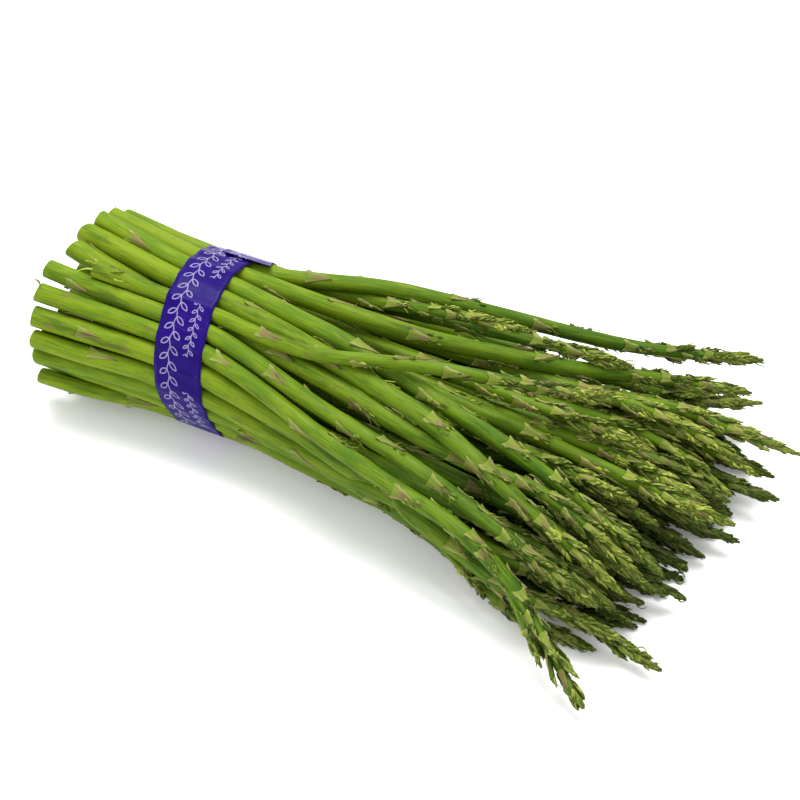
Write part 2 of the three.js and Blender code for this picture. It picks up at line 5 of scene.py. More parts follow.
import bpy
import numpy as np
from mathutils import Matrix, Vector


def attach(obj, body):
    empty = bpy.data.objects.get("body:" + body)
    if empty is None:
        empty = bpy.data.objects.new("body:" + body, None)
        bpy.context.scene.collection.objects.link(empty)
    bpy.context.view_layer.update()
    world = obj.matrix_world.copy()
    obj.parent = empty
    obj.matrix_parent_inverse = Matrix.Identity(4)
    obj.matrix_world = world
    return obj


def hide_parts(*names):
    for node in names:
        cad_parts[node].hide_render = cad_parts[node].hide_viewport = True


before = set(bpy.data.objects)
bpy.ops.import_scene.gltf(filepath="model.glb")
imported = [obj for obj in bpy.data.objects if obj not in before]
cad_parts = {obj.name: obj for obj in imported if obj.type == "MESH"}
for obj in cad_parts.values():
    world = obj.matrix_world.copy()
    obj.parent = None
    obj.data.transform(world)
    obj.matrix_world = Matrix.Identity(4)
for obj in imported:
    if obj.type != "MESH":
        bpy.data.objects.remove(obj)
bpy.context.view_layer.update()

MM = 0.001
TAU = 2 * np.pi
GOLDEN_TURN = np.radians(137.5)

# The view: where the camera looks from (degrees), how far off it stands, and its lens and sensor
# in mm
VIEW_AZIMUTH = 27.0
VIEW_ELEVATION = 41.0
VIEW_DISTANCE = 0.9
VIEW_TARGET = (-0.004, 0.00918, 0.024)
VIEW_LENS = 102.6
VIEW_SENSOR = 36

# The spears
HEAD_RINGS = 11
STEM_SIDES = 16
STEM_STEP = 5 * MM
BRACT_LENGTH = 11.5 * MM
BRACT_SPACING = 17.5 * MM
LOBES = 18
BUDS_PER_LOBE = 6
BUDS_PER_SEEN_LOBE = 11
STRANDS_PER_LOBE = 4
STRAND_WILT = 0.35
SPEAR_SEED = 900
TABLE_GAP = 0.05 * MM

# The rings of a cut end, from its sunken middle over its rim: the place along the stem, and the
# share of the stem's radius
RIM_PLACES = np.array([0.7, 0.5, 0.15, 0, 0.25]) * MM
RIM_SHARES = np.array([0.04, 0.45, 0.8, 0.93, 0.99])

# The materials of a spear, by their place in its list, and the point values with three numbers
STEM_PART, SCALE_PART, BUD_PART, CUT_PART = range(4)
VECTOR_VALUES = {"grain"}

# Spears that the photograph shows apart from the rest: how loose the head is, how dull, what
# share of it is still open stem, and how deep the stem's green is. Dullness darkens a spear's
# colour, partly for wilt and partly as painted shade on heads that lie low.
SPEAR_LOOKS = {
    "spear_01": (0.80, 0.30, 0.65, 0.70), "spear_02": (0.85, 0.30, 0.60, 0.35),
    "spear_03": (0.10, 0.05, 0.40, 0.65), "spear_04": (0.15, 0.20, 0.35, 0.30),
    "spear_05": (0.10, 0.25, 0.35, 0.40), "spear_06": (0.50, 0.15, 0.55, 0.15),
    "spear_07": (0.20, 0.25, 0.45, 0.55), "spear_08": (0.45, 0.10, 0.50, 0.60),
    "spear_09": (0.20, 0.25, 0.45, 0.30), "spear_10": (0.35, 0.35, 0.40, 0.30),
    "spear_11": (0.40, 0.30, 0.50, 0.75), "spear_12": (0.50, 0.40, 0.50, 0.50),
    "spear_13": (0.60, 0.55, 0.40, 0.60), "spear_14": (0.15, 0.30, 0.25, 0.35),
    "spear_15": (0.50, 0.00, 0.60, 0.20), "spear_25": (0.15, 0.00, 0.15, 0.10),
    "spear_26": (0.10, 0.05, 0.40, 0.20), "spear_27": (0.45, 0.20, 0.50, 0.50),
    "spear_28": (0.20, 0.00, 0.15, 0.00), "spear_29": (0.10, 0.00, 0.20, 0.00),
    "spear_30": (0.10, 0.00, 0.15, 0.05), "spear_31": (0.10, 0.00, 0.25, 0.10),
    "spear_43": (0.20, 0.00, 0.20, 0.15), "spear_44": (0.35, 0.20, 0.25, 0.45),
    "spear_46": (0.20, 0.00, 0.20, 0.10), "spear_48": (0.15, 0.05, 0.20, 0.20),
}

# Spears whose lobes begin well below the head's start, by this much
EARLY_SPEARS = ("spear_44", "spear_25", "spear_26", "spear_28", "spear_43", "spear_46")
EARLY_LOBES = 22 * MM

# The spear in front has a full head with a blunt end, this much fuller than its solid's
BLUNT_SPEAR = "spear_08"
BLUNT_EXTRA = 1.3 * MM

# Loose ends: the spear, how far up it they start, their turn round it, length, lean from the
# stem, curl, thickness and shade, in mm and radians
LOOSE_ENDS = [
    ("spear_02", 1.5, 1.9, 2.4, 2.7, -0.6, 0.80, -0.4),
    ("spear_08", 1.5, 1.5, 6.5, 1.3, 0.6, 0.75, -0.4),
    ("spear_06", 1.0, 0.6, 7.0, 2.9, -0.6, 0.60, -0.3),
    ("spear_06", 1.5, 1.4, 5.0, 2.6, 0.4, 0.70, -0.2),
    ("spear_06", 1.0, 2.4, 6.0, 2.9, -0.3, 0.55, -0.3),
    ("spear_06", 8.0, 1.2, 7.0, 0.9, -1.8, 0.70, 0.1),
    ("spear_06", 9.0, 2.0, 6.0, 0.8, -2.2, 0.60, 0.3),
    ("spear_06", 10.0, 0.4, 6.0, 0.9, -1.6, 0.60, 0.2),
    ("spear_02", 232.0, -1.6, 24.0, 0.3, -0.7, 0.40, 1.0),
    ("spear_01", 110.0, -0.9, 20.0, 2.0, 0.5, 0.55, 0.2),
]

# The tape
TAPE_START = -90.0 * MM
TAPE_WIDTH = 21 * MM
TAPE_CENTRE = (1.52 * MM, 32.5 * MM)
TAPE_LEAN_Y = 0.075
TAPE_LEAN_Z = 0.175
TAPE_FILM = 0.25 * MM
TAIL_FROM = 16.0
TAIL_TO = 59.0
TAIL_SLIP = 9 * MM
TAIL_PRINT = 31 * MM
TAPE_OFF = 0.32 * MM
TAPE_STEPS = 400
HULL_STEPS = 720

# The print, in mm: where its two vines run across the tape, and how often, and for what share of
# each repeat, the small one shows
LARGE_VINE_AT, SMALL_VINE_AT = 6.4, 14.8
SMALL_VINE_REPEAT, SMALL_VINE_SHARE = 36.0, 0.6

# Thin shoots that leave a stem: the spear, and the two ends of each
SIDE_SHOOTS = {
    "spear_08": ((71.0, -62.1, 30.3), (100.0, -84.5, 12.0)),
    "spear_11": ((31.0, -43.3, 16.4), (65.0, -59.0, 9.5)),
}
SHOOT_RINGS = np.array([0, 0.3, 0.55, 0.66, 0.7, 0.79, 0.83, 0.9, 1])
SHOOT_SEED = 700
SHOOT_NUMBERS = 80

# The table's half width, and the soft lights: name, place, aim, size in metres and watts
TABLE_HALF = 3
LIGHTS = [
    ("overhead softbox", (-0.2, 0.3, 1.2), (0, 0, 0), 0.8, 19.5),
    ("front softbox", (-0.5, -1.1, 0.8), (0, 0, 0.02), 0.9, 4.0),
]


def smooth(t):
    """0 to 1 with level ends: 3t² - 2t³, t held between 0 and 1."""
    t = np.clip(t, 0, 1)
    return t * t * (3 - 2 * t)


def mix(a, b, t):
    """A blend of a and b by t."""
    return a + (b - a) * t


# Reading the solids

def node_points(name):
    """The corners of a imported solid, each once, in order of x."""
    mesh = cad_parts[name].data
    flat = np.empty(len(mesh.vertices) * 3, np.float32)
    mesh.vertices.foreach_get("co", flat)
    return np.unique(np.round(flat.reshape(-1, 3).astype(float), 7), axis=0)


def smallest_circle(points):
    """The smallest circle round a few points: of all circles across two or through three of
    them, the smallest that holds every point."""
    pairs = np.array(list(itertools.combinations(range(len(points)), 2)))
    a, b = points[pairs[:, 0]], points[pairs[:, 1]]
    centres = [(a + b) / 2]
    radii = [np.linalg.norm(a - b, axis=1) / 2]
    threes = np.array(list(itertools.combinations(range(len(points)), 3)))
    a, b, c = (points[threes[:, i]] for i in range(3))
    b, c = b - a, c - a
    cross = 2 * (b[:, 0] * c[:, 1] - b[:, 1] * c[:, 0])
    fine = np.abs(cross) > 1e-9
    a, b, c, cross = a[fine], b[fine], c[fine], cross[fine]
    bb, cc = (b * b).sum(1), (c * c).sum(1)
    off = np.stack([c[:, 1] * bb - b[:, 1] * cc, b[:, 0] * cc - c[:, 0] * bb], 1) / cross[:, None]
    centres.append(a + off)
    radii.append(np.linalg.norm(off, axis=1))
    centres, radii = np.concatenate(centres), np.concatenate(radii)
    reach = np.linalg.norm(points[None] - centres[:, None], axis=2).max(1)
    best = np.argmin(np.where(reach <= radii + 2e-7, radii, np.inf))
    return centres[best], radii[best]


def read_stations(name):
    """A spear's solid has rings in planes across X. Each plane that holds four corners or more
    gives the centre and radius of the spear there; rings of a side shoot are passed over."""
    points = node_points(name)
    breaks = np.flatnonzero(np.diff(points[:, 0]) > 2e-6) + 1
    shoot_x = np.array([])
    if name in SIDE_SHOOTS:
        root, tip = SIDE_SHOOTS[name]
        shoot_x = mix(root[0], tip[0], SHOOT_RINGS) * MM
    rows = []
    for plane in np.split(points, breaks):
        x = plane[0, 0]
        if len(plane) >= 4 and not np.any(np.abs(shoot_x - x) < 1e-5):
            centre, radius = smallest_circle(plane[:, 1:])
            rows.append((x, centre[0], centre[1], radius))
    return np.array(rows)


def smooth_line(stations, step=2 * MM, passes=36):
    """The centre line through the stations, sampled evenly, with each point averaged again and
    again with its neighbours and the ends carried on straight. With it go the arc length, the
    tangent, and two directions across: side, level, and up."""
    x0, x1 = stations[0, 0], stations[-1, 0]
    x = np.linspace(x0, x1, int(np.ceil((x1 - x0) / step)) + 1)
    p = np.stack([x] + [np.interp(x, stations[:, 0], stations[:, i]) for i in (1, 2)], 1)
    for _ in range(passes):
        padded = np.concatenate([2 * p[:1] - p[1:2], p, 2 * p[-1:] - p[-2:-1]])
        p = (padded[:-2] + 2 * padded[1:-1] + padded[2:]) / 4
    s = np.concatenate([[0], np.cumsum(np.linalg.norm(np.diff(p, axis=0), axis=1))])
    tangent = np.gradient(p, s, axis=0)
    tangent /= np.linalg.norm(tangent, axis=1)[:, None]
    side = np.cross(tangent, (0, 0, 1.0))
    side /= np.linalg.norm(side, axis=1)[:, None]
    return {"s": s, "p": p, "tangent": tangent, "side": side, "up": np.cross(side, tangent)}


def along(line, key, s):
    """A value of the line at arc lengths s, which may be an array of any shape."""
    return np.stack([np.interp(s, line["s"], line[key][:, i]) for i in range(3)], -1)


def place(line, s, angle, out):
    """Points at arc length s, out from the line at an angle round it. Past the line's ends they
    carry on along its tangent."""
    s, angle, out = np.broadcast_arrays(s, angle, out)
    past = s - np.clip(s, 0, line["s"][-1])
    across = np.cos(angle)[..., None] * along(line, "side", s)
    across = across + np.sin(angle)[..., None] * along(line, "up", s)
    return along(line, "p", s) + past[..., None] * along(line, "tangent", s) + out[..., None] * across


# Building meshes

def add_object(name, data):
    """A new object in the scene, at the origin."""
    obj = bpy.data.objects.new(name, data)
    bpy.context.scene.collection.objects.link(obj)
    return obj


class Surfaces:
    """Collects grids of points, each closed round its columns, into one mesh."""

    def __init__(self):
        self.points, self.quads, self.caps, self.slots, self.values = [], [], [], [], []
        self.count = 0

    def add(self, grid, slot, values, caps=(True, True)):
        """grid is tubes × rows × columns × 3. Its quads join each row to the next, and a cap
        closes each end of a tube. slot is a material number for all, or one for each row."""
        tubes, rows, columns, _ = grid.shape
        first = self.count + np.arange(tubes)[:, None, None] * rows * columns
        row = np.arange(rows - 1)[None, :, None] * columns
        column = np.arange(columns)
        a = first + row + column
        b = first + row + (column + 1) % columns
        self.quads.append(np.stack([a, b, b + columns, a + columns], -1).reshape(-1, 4))
        slots = np.broadcast_to(slot, (rows - 1,))
        self.slots.append(np.broadcast_to(slots[None, :, None], (tubes, rows - 1, columns)).ravel())
        start = first[:, 0] + column[::-1]
        end = first[:, 0] + (rows - 1) * columns + column
        self.caps.append((start if caps[0] else start[:0], slots[0]))
        self.caps.append((end if caps[1] else end[:0], slots[-1]))
        self.points.append(grid.reshape(-1, 3))
        size = tubes * rows * columns
        held = {}
        for key, value in values.items():
            shape = grid.shape if key in VECTOR_VALUES else grid.shape[:3]
            held[key] = np.broadcast_to(np.asarray(value, float), shape).ravel()
        self.values.append((size, held))
        self.count += size

    def build(self, name, materials):
        """One mesh object of everything added, smooth, with a point attribute for each value.
        What would sink into the table lies flat on it."""
        points = np.concatenate(self.points)
        points[:, 2] = np.maximum(points[:, 2], TABLE_GAP)
        faces = [np.concatenate(self.quads)]
        slots = [np.concatenate(self.slots)]
        for cap, slot in self.caps:
            if len(cap):
                faces.append(cap)
                slots.append(np.full(len(cap), slot))
        sizes = np.concatenate([np.full(len(f), f.shape[1]) for f in faces])
        corners = np.concatenate([f.ravel() for f in faces])
        mesh = bpy.data.meshes.new(name)
        mesh.vertices.add(len(points))
        mesh.vertices.foreach_set("co", points.astype(np.float32).ravel())
        mesh.loops.add(len(corners))
        mesh.loops.foreach_set("vertex_index", corners.astype(np.int32))
        mesh.polygons.add(len(sizes))
        mesh.polygons.foreach_set("loop_start", (np.cumsum(sizes) - sizes).astype(np.int32))
        mesh.polygons.foreach_set("material_index", np.concatenate(slots).astype(np.int32))
        mesh.polygons.foreach_set("use_smooth", np.ones(len(sizes), bool))
        mesh.update(calc_edges=True)
        for key in sorted({key for _, held in self.values for key in held}):
            vector = key in VECTOR_VALUES
            width = 3 if vector else 1
            parts = [held.get(key, np.zeros(size * width)) for size, held in self.values]
            layer = mesh.attributes.new(key, "FLOAT_VECTOR" if vector else "FLOAT", "POINT")
            numbers = np.concatenate(parts).astype(np.float32)
            layer.data.foreach_set("vector" if vector else "value", numbers)
        for material in materials:
            mesh.materials.append(material)
        return add_object(name, mesh)


# The parts of a spear

def stem_surface(spear):
    """A tube round the centre line. Its radius is the stem's, times one plus a shallow fluting
    (cosines of 5 and 7 times the angle) and a slow oval, with a small swelling at the foot of
    each bract. Inside the head it thins to the tip. The cut end is a slightly slanted plane with
    a rounded rim and a sunken middle."""
    line, rng = spear["line"], spear["rng"]
    length = line["s"][-1]
    body = np.arange(0.9 * MM, length - 4 * MM, STEM_STEP)
    s = np.concatenate([RIM_PLACES, body, [length - 3 * MM]])
    share = np.concatenate([RIM_SHARES, np.ones(len(body) + 1)])
    angle = -TAU * np.arange(STEM_SIDES) / STEM_SIDES
    radius = stem_radius(spear, s)
    swell = sum(0.05 * np.exp(-((s - b - 1 * MM) / (2.5 * MM)) ** 2) for b in spear["bract_s"])
    radius = radius * share * (1 + swell)
    phases = rng.uniform(0, TAU, 4)
    flute = 0.018 * np.cos(5 * angle + phases[0]) + 0.012 * np.cos(7 * angle + phases[1])
    oval = 0.03 * np.cos(2 * angle + s[:, None] * 20 + phases[2])
    out = radius[:, None] * (1 + flute[None] + oval)
    slant = rng.uniform(-0.35, 0.35) * np.cos(angle + phases[3]) * (1 - smooth(s / (6 * MM)))[:, None]
    grid = place(line, s[:, None] + slant * out, angle[None], out)
    spear["surfaces"].add(grid[None], np.where(np.arange(len(s) - 1) < 3, CUT_PART, STEM_PART), {
        "tone": spear["tone"],
        "wilt": spear["wilt"],
        "along": height_up(spear, s)[:, None],
        "grain": grain_of(spear, s[:, None], angle[None], out),
    })


def stem_radius(spear, s):
    """The stem's own radius along the spear; in the head, the core that the lobes sit on."""
    x = along(spear["line"], "p", s)[..., 0]
    stem = spear["stations"][:-HEAD_RINGS]
    t = np.clip(head_share(spear, s), 0, 1)
    return np.interp(x, stem[:, 0], stem[:, 3]) * (1 - 0.12 * t - 0.68 * t ** 1.6)


def head_share(spear, s):
    """0 at the start of the head, 1 at its tip."""
    length = spear["line"]["s"][-1]
    return (s - spear["head_s"]) / (length - spear["head_s"])


def head_outline(spear, s):
    """The head's outer radius, through the proud rings of its solid, drawn in to a point over
    the last millimetres. A blunt head is fuller by the same amount up to its end."""
    rings = spear["stations"][-HEAD_RINGS - 1:]
    proud = np.concatenate([rings[:1], rings[1:-1:2], rings[-1:]])
    x = along(spear["line"], "p", s)[..., 0]
    left = np.clip((spear["line"]["s"][-1] - s) / (6 * spear["unit"]), 0, 1)
    return np.interp(x, proud[:, 0], proud[:, 3]) * left ** 0.6 + spear["blunt"] * left ** 0.4


def height_up(spear, s):
    """0 at the cut end, 1 at the tip."""
    return mix(spear["low"], 1, s / spear["line"]["s"][-1])


def grain_of(spear, s, angle, out):
    """A point's place in the spear as if it were straight, so that fibres run along it, with an
    offset for each spear."""
    s, angle, out = np.broadcast_arrays(s, angle, out)
    return np.stack([np.cos(angle) * out + spear["number"] * 0.05, np.sin(angle) * out, s], -1)


def add_leaves(spear, s, angle, out, part, u, v, shade, **own):
    """Adds bracts, drops or strands to the mesh of their spear, with the point values of the
    spear, their two coordinates, how dark each one is, and any values of their own."""
    spear["surfaces"].add(place(spear["line"], s, angle, out), part, {
        "tone": spear["tone"],
        "wilt": spear["wilt"],
        "along": height_up(spear, s),
        "leaf_u": u,
        "leaf_v": v,
        "shade": shade,
        "grain": grain_of(spear, s, angle, out),
        **own,
    })


def columns_of(*values):
    """Arrays of one value for each shape, or one for all, ready to meet rows and columns."""
    return [np.atleast_1d(np.asarray(v, float))[:, None, None] for v in values]


def shield_surfaces(spear, s0, turn, length, width, lip, lift, shade, rise=0.0, sway=0.0):
    """Bracts that lie on the stem. u runs from 0 at the foot to 1 at the point and v across. The
    half width is the width times 1 - u to the power 1.2. The foot's two corners stand off as
    ears, by the lip times v to the fourth, and reach back past the foot's middle; both fade as
    exp(-u²). The film is thinnest at the foot, and its point drifts aside and may stand off.
    Over a lobe it rises as sin(pi u / 2). Two sunken columns close it from below."""
    s0, turn, length, width, lip, lift, shade, rise, sway = columns_of(
        s0, turn, length, width, lip, lift, shade, rise, sway)
    u = np.array([0, 0.0, 0.04, 0.1, 0.19, 0.31, 0.46, 0.64, 0.82, 1.0])[None, :, None]
    v = np.array([-1, -0.72, -0.36, 0, 0.36, 0.72, 1, 0.5, -0.5])[None, None, :]
    under = np.array([0] * 7 + [1] * 2)[None, None, :]
    sunk = np.maximum(under, np.array([1] + [0] * 9)[None, :, None])
    half = width * ((1 - u) ** 1.2 * (0.86 + 0.14 * smooth(u / 0.1)) + 0.012)
    half = half * (1 + 0.08 * np.sin(23 * u + 9 * turn + 2 * v))
    raised = lip * np.exp(-(u / 0.14) ** 2) * (0.22 + 0.78 * v ** 4)
    film = (0.04 + 0.1 * smooth(u / 0.15) + 0.12 * (1 - v * v)) * MM + lift * u ** 2
    s = s0 + length * u - 0.9 * lip * v * v * np.exp(-(u / 0.06) ** 2) * (1 - sunk)
    radius = stem_radius(spear, s) + rise * np.sin(u * np.pi / 2)
    out = radius + np.where(sunk > 0, -0.5 * MM, raised + film)
    drift = (0.28 * np.sin(5 * turn) + sway) * u * u
    angle = turn + v * half / np.maximum(radius, 0.8 * MM) + drift
    add_leaves(spear, s, angle, out, SCALE_PART, u, v, shade)


def drop_surfaces(spear, s0, turn, foot, out, length, width, thick, sway=0.0, peak=0.7,
                  rows=7, columns=7, shade=0.0, rim=0.0):
    """Pointed drops laid along the spear: lobes and buds. Both the half width and the half
    thickness follow sin(pi u^peak) to the power 0.8, and the middle rises from the foot radius
    to the outer radius as sin(pi u / 2). Sway turns the point round the spear. Rim is how brown
    the edges are, and depth how far a point lies inside the head's outline; the bud material
    darkens deep points as painted shade in the head's crevices."""
    s0, turn, foot, out, length, width, thick, sway, peak, shade, rim = columns_of(
        s0, turn, foot, out, length, width, thick, sway, peak, shade, rim)
    u = np.linspace(0.02, 1.0, rows)[None, :, None]
    phi = (TAU * np.arange(columns) / columns)[None, None, :]
    girth = np.sin(np.pi * np.clip(u, 0, 0.9999) ** peak) ** 0.8 + 0.02
    middle = mix(foot, out, np.sin(u * np.pi / 2))
    reach = middle + thick * girth * np.sin(phi)
    angle = turn + sway * u * u + width * girth * np.cos(phi) / np.maximum(middle, 1.1 * MM)
    s = s0 + length * u + 0 * phi
    depth = np.clip((head_outline(spear, s) - reach) / (2.2 * spear["unit"]), 0, 1)
    add_leaves(spear, s, angle, reach, BUD_PART, u, np.cos(phi), shade, rim=rim, depth=depth)


def strand_surfaces(spear, s0, turn, out, length, lean, curl, radius, rows=7, shade=0.0):
    """Thin three-sided strands, the needles of opened buds. A strand sets off at its lean from
    the stem and bends by its curl: the heading is lean + curl u, and the path its running sum.
    The radius falls to a point as the square root of 1 - u. Strands stay fresher than the head
    that they grow from."""
    s0, turn, out, length, lean, curl, radius, shade = columns_of(
        s0, turn, out, length, lean, curl, radius, shade)
    u = np.linspace(0, 1, rows)[None, :, None]
    heading = lean + curl * u
    step = length / (rows - 1)
    forward = np.cumsum(np.cos(heading), 1) - np.cos(heading[:, :1])
    outward = np.cumsum(np.sin(heading), 1) - np.sin(heading[:, :1])
    phi = (TAU * np.arange(3) / 3)[None, None, :]
    thin = radius * np.sqrt(1.02 - u)
    reach = np.maximum(out + step * outward + thin * np.sin(phi), 0.3 * MM)
    s = s0 + step * forward + 0 * phi
    aside = np.sin(7 * turn) * 0.5 * u * u * length
    angle = turn + (aside + thin * np.cos(phi)) / np.maximum(reach, 1 * MM)
    add_leaves(spear, s, angle, reach, BUD_PART, u, 0, shade, wilt=STRAND_WILT * spear["wilt"])


def add_bracts(spear):
    """Bracts up the stem at the golden angle, none under the tape, and small clusters of buds
    and needles in the angles of the upper ones."""
    s, line, unit, draw = spear["bract_s"], spear["line"], spear["unit"], spear["rng"].uniform
    n = len(s)
    turn = spear["turn"] + GOLDEN_TURN * np.arange(n) + draw(-0.25, 0.25, n)
    length = BRACT_LENGTH * (unit / MM) * draw(0.8, 1.2, n)
    radius = stem_radius(spear, s)
    width = np.minimum(draw(2.3, 3.2, n) * unit, radius)
    lip = draw(0.7, 1.15, n) * unit
    lift = draw(-0.1, 0.9, n) ** 3 * 1.6 * unit
    shield_surfaces(spear, s, turn, length, width, lip, lift, draw(-0.9, 1.0, n))
    upper = np.flatnonzero(s > spear["budding"] * line["s"][-1])
    k = np.repeat(upper, 5)
    m = len(k)
    bud_s = s[k] + length[k] * draw(0.25, 0.95, m)
    side = draw(-0.6, 0.6, m)
    drop_surfaces(
        spear, bud_s, turn[k] + side, radius[k] - 0.2 * MM, radius[k] + draw(0.2, 0.8, m) * unit,
        draw(2.0, 3.6, m) * unit, draw(0.45, 0.75, m) * unit, draw(0.4, 0.6, m) * unit,
        rows=5, columns=5, shade=draw(-0.1, 0.9, m))
    k = np.repeat(upper, 3)
    m = len(k)
    strand_surfaces(
        spear, s[k] + length[k] * draw(0.4, 0.9, m), turn[k] + draw(-0.6, 0.6, m), radius[k],
        draw(3, 6.5, m) * unit, draw(0.1, 0.6, m), draw(-0.9, 0.9, m), draw(0.28, 0.4, m) * MM,
        shade=draw(0.0, 1.0, m))


def add_head(spear):
    """The head: lobes at the golden angle, closer towards the tip. In its open part the stem
    shows between spaced bracts, each over a small dark lobe; in its closed part the lobes
    overlap up to a smooth point, each with a scale over its foot. A lobe is a dark drop under
    rows of small pointed buds that close in on its point; its dark green is partly its own and
    partly painted shade in the gaps between the buds, darker towards the head's start. A loose
    head's lobes stand off and sprout needles, which curl more and sit nearer the tip the more
    the head is wilted."""
    line, loose, unit, draw = spear["line"], spear["loose"], spear["unit"], spear["rng"].uniform
    n = spear["lobes"]
    k = np.arange(n)
    t = 0.94 * (k / (n - 1)) ** 0.65
    end = line["s"][-1]
    s0 = spear["lobes_from"] + t * (end - spear["lobes_from"])
    tight = smooth((t - spear["open"]) / 0.2 + 0.5)
    turn = spear["turn"] + 2.0 + GOLDEN_TURN * k + draw(-0.15, 0.15, n)
    core = stem_radius(spear, s0)

    opened = np.flatnonzero(tight < 0.7)
    m = len(opened)
    shield_surfaces(
        spear, s0[opened], turn[opened], draw(8.5, 12.5, m) * unit,
        np.minimum(draw(2.1, 2.9, m) * unit, core[opened] * 0.95),
        draw(0.9, 1.5, m) * unit, draw(0.8, 2.4, m) * unit, draw(-0.8, 0.8, m))

    lobe_s = s0 + 2.8 * unit * (1 - tight)
    length = mix(8.5, mix(12.5, 10.0, t), tight) * unit * draw(0.85, 1.15, n)
    length = np.clip(length, 2.5 * MM, end + 0.4 * MM - lobe_s)
    thick = mix(0.8, mix(1.4, 0.9, t), tight) * unit
    foot = core - 0.3 * MM
    outline = head_outline(spear, np.minimum(lobe_s + length * 0.45, end))
    out = mix(core + draw(0.0, 1.0, n) * unit, np.maximum(outline - thick, foot * 0.5), tight)
    out = out * (1 + 0.25 * loose * draw(0, 1, n))
    out = np.where((t > 0.8) & (spear["blunt"] == 0), out * 0.5, out)
    width = mix(1.5, mix(2.5, 2.1, t), tight) * unit * draw(0.85, 1.15, n)
    sway = draw(-0.25, 0.25, n) * (1 + loose)
    # The lobes' dark green: partly their own, partly painted shade in the gaps between buds
    drop_surfaces(spear, lobe_s, turn, foot, out, length, width, thick, sway, 0.6,
                  shade=mix(0.75, 0.3, t) + draw(-0.1, 0.2, n), rim=0.7)

    closed = np.flatnonzero(tight > 0.3)
    m = len(closed)
    over = (mix(foot, out, 0.75) + thick * np.where(t > 0.8, 0.5, 1))[closed]
    fade = 1 - 0.85 * t[closed]
    shield_surfaces(
        spear, s0[closed] - 1.5 * unit, turn[closed] + draw(-0.15, 0.15, m),
        np.minimum(draw(7.0, 11.0, m) * unit, length[closed] + 1.5 * unit),
        np.minimum(draw(1.7, 2.5, m) * unit, 0.75 * over), draw(0.3, 0.9, m) * fade * unit,
        draw(-0.2, 0.6, m) * fade * unit, draw(-0.9, 0.9, m), over - core[closed], sway[closed] * 0.5)

    buds = np.where(t > 0.75, spear["buds"] // 2, spear["buds"])
    k = np.repeat(np.arange(n), buds)
    m = len(k)
    j = np.arange(m) - np.repeat(np.cumsum(buds) - buds, buds)
    u = mix(mix(0.06, 0.36, tight[k]), 0.78, (j + draw(0.0, 1.0, m)) / buds[k])
    v = np.array([-0.8, 0.1, 0.8, -0.35, 0.45])[j % 5] + draw(-0.15, 0.15, m)
    bud_length = mix(draw(1.8, 3.2, m), draw(2.8, 4.6, m), tight[k]) * unit
    plump = np.where(draw(0, 1, m) < 0.3, 1.0, 0.0)
    longest = np.maximum(length[k] * (1.08 - u), 1.4 * unit)
    bud_length = np.minimum(bud_length, longest) * (1 - 0.4 * plump)
    bud_s = np.minimum(lobe_s[k] + length[k] * u, end - bud_length * 0.95)
    girth = np.sin(np.pi * u ** 0.6) ** 0.8
    on = mix(foot[k], out[k], np.sin(u * np.pi / 2)) + thick[k] * girth * (1 - 0.45 * v * v)
    room = head_outline(spear, np.minimum(bud_s + bud_length * 0.6, end)) * (1.02 + 0.25 * loose)
    on = np.minimum(on, np.maximum(room, 0.35 * MM))
    across = width[k] * girth / np.maximum(on, 1 * MM)
    stand = draw(0.0, 0.3, m) + (0.35 + 0.5 * loose) * (1 - 0.6 * tight[k]) * draw(0, 1, m)
    drop_surfaces(
        spear, bud_s, turn[k] + sway[k] * u * u + v * across, on - 0.45 * unit,
        on + (stand + 0.2 * plump) * unit, bud_length, bud_length * (draw(0.15, 0.22, m) + 0.14 * plump),
        bud_length * (draw(0.11, 0.16, m) + 0.1 * plump),
        -v * across * 0.6 + draw(-0.12, 0.12, m), 0.45 + 0.25 * plump, rows=5, columns=4,
        shade=mix(0.3, 0.1, tight[k]) + draw(-0.5, 0.7, m), rim=draw(0, 1, m) ** 1.6)

    m = int(round(n * STRANDS_PER_LOBE * loose ** 1.4))
    k = (n * draw(0, 1, m) ** (1 - 0.5 * spear["wilt"])).astype(int)
    u = draw(0.3, 0.9, m)
    strand_s = np.minimum(lobe_s[k] + length[k] * u, end - 3 * MM)
    on = mix(foot[k], out[k], np.sin(u * np.pi / 2)) + 0.3 * MM
    strand_surfaces(
        spear, strand_s, turn[k] + draw(-0.6, 0.6, m), on, draw(3.0, 7.0, m) * unit,
        draw(0.1, 0.9, m) + 0.7 * spear["wilt"], draw(-4.4, 0.2, m) - 3.0 * spear["wilt"],
        draw(0.3, 0.5, m) * MM, shade=draw(0.0, 0.9, m))


def spear_looks(name, tip_height, rng):
    """How loose and how dull a head is, its open share, and the stem's depth of green. Heads
    near the table are looser and duller; their darker colour is partly wilt and partly painted
    shade."""
    low = np.clip((20 * MM - tip_height) / (18 * MM), 0, 1)
    drawn = (0.15 + 0.55 * low + rng.uniform(-0.15, 0.25), 0.25 + 0.8 * low + rng.uniform(-0.15, 0.25),
             rng.uniform(0.3, 0.5), rng.uniform(0.1, 0.9))
    return [float(np.clip(value, 0, 1)) for value in SPEAR_LOOKS.get(name, drawn)]


def tape_lean(y, z):
    """How far the tape's plane leans along X at a place across it."""
    return -TAPE_LEAN_Y * (y - TAPE_CENTRE[0]) - TAPE_LEAN_Z * (z - TAPE_CENTRE[1])


def bract_places(line, head_s, rng):
    """Arc lengths of the bracts of one spear, closer towards the head: 1 - (1 - q)^1.4 of the
    way up for even steps of q. None of them lies under the tape."""
    first = rng.uniform(8, 30) * MM
    room = head_s - 5 * MM - first
    q = np.arange(0, 1, BRACT_SPACING / room)
    s = first + room * (1 - (1 - q) ** 1.4) + rng.uniform(-5, 5, len(q)) * (1 - 0.6 * q) * MM
    at = along(line, "p", s)
    x = at[:, 0] - tape_lean(at[:, 1], at[:, 2])
    clear = (x + BRACT_LENGTH * 1.2 < TAPE_START - 1 * MM) | (x > TAPE_START + TAPE_WIDTH + 3 * MM)
    return s[clear]


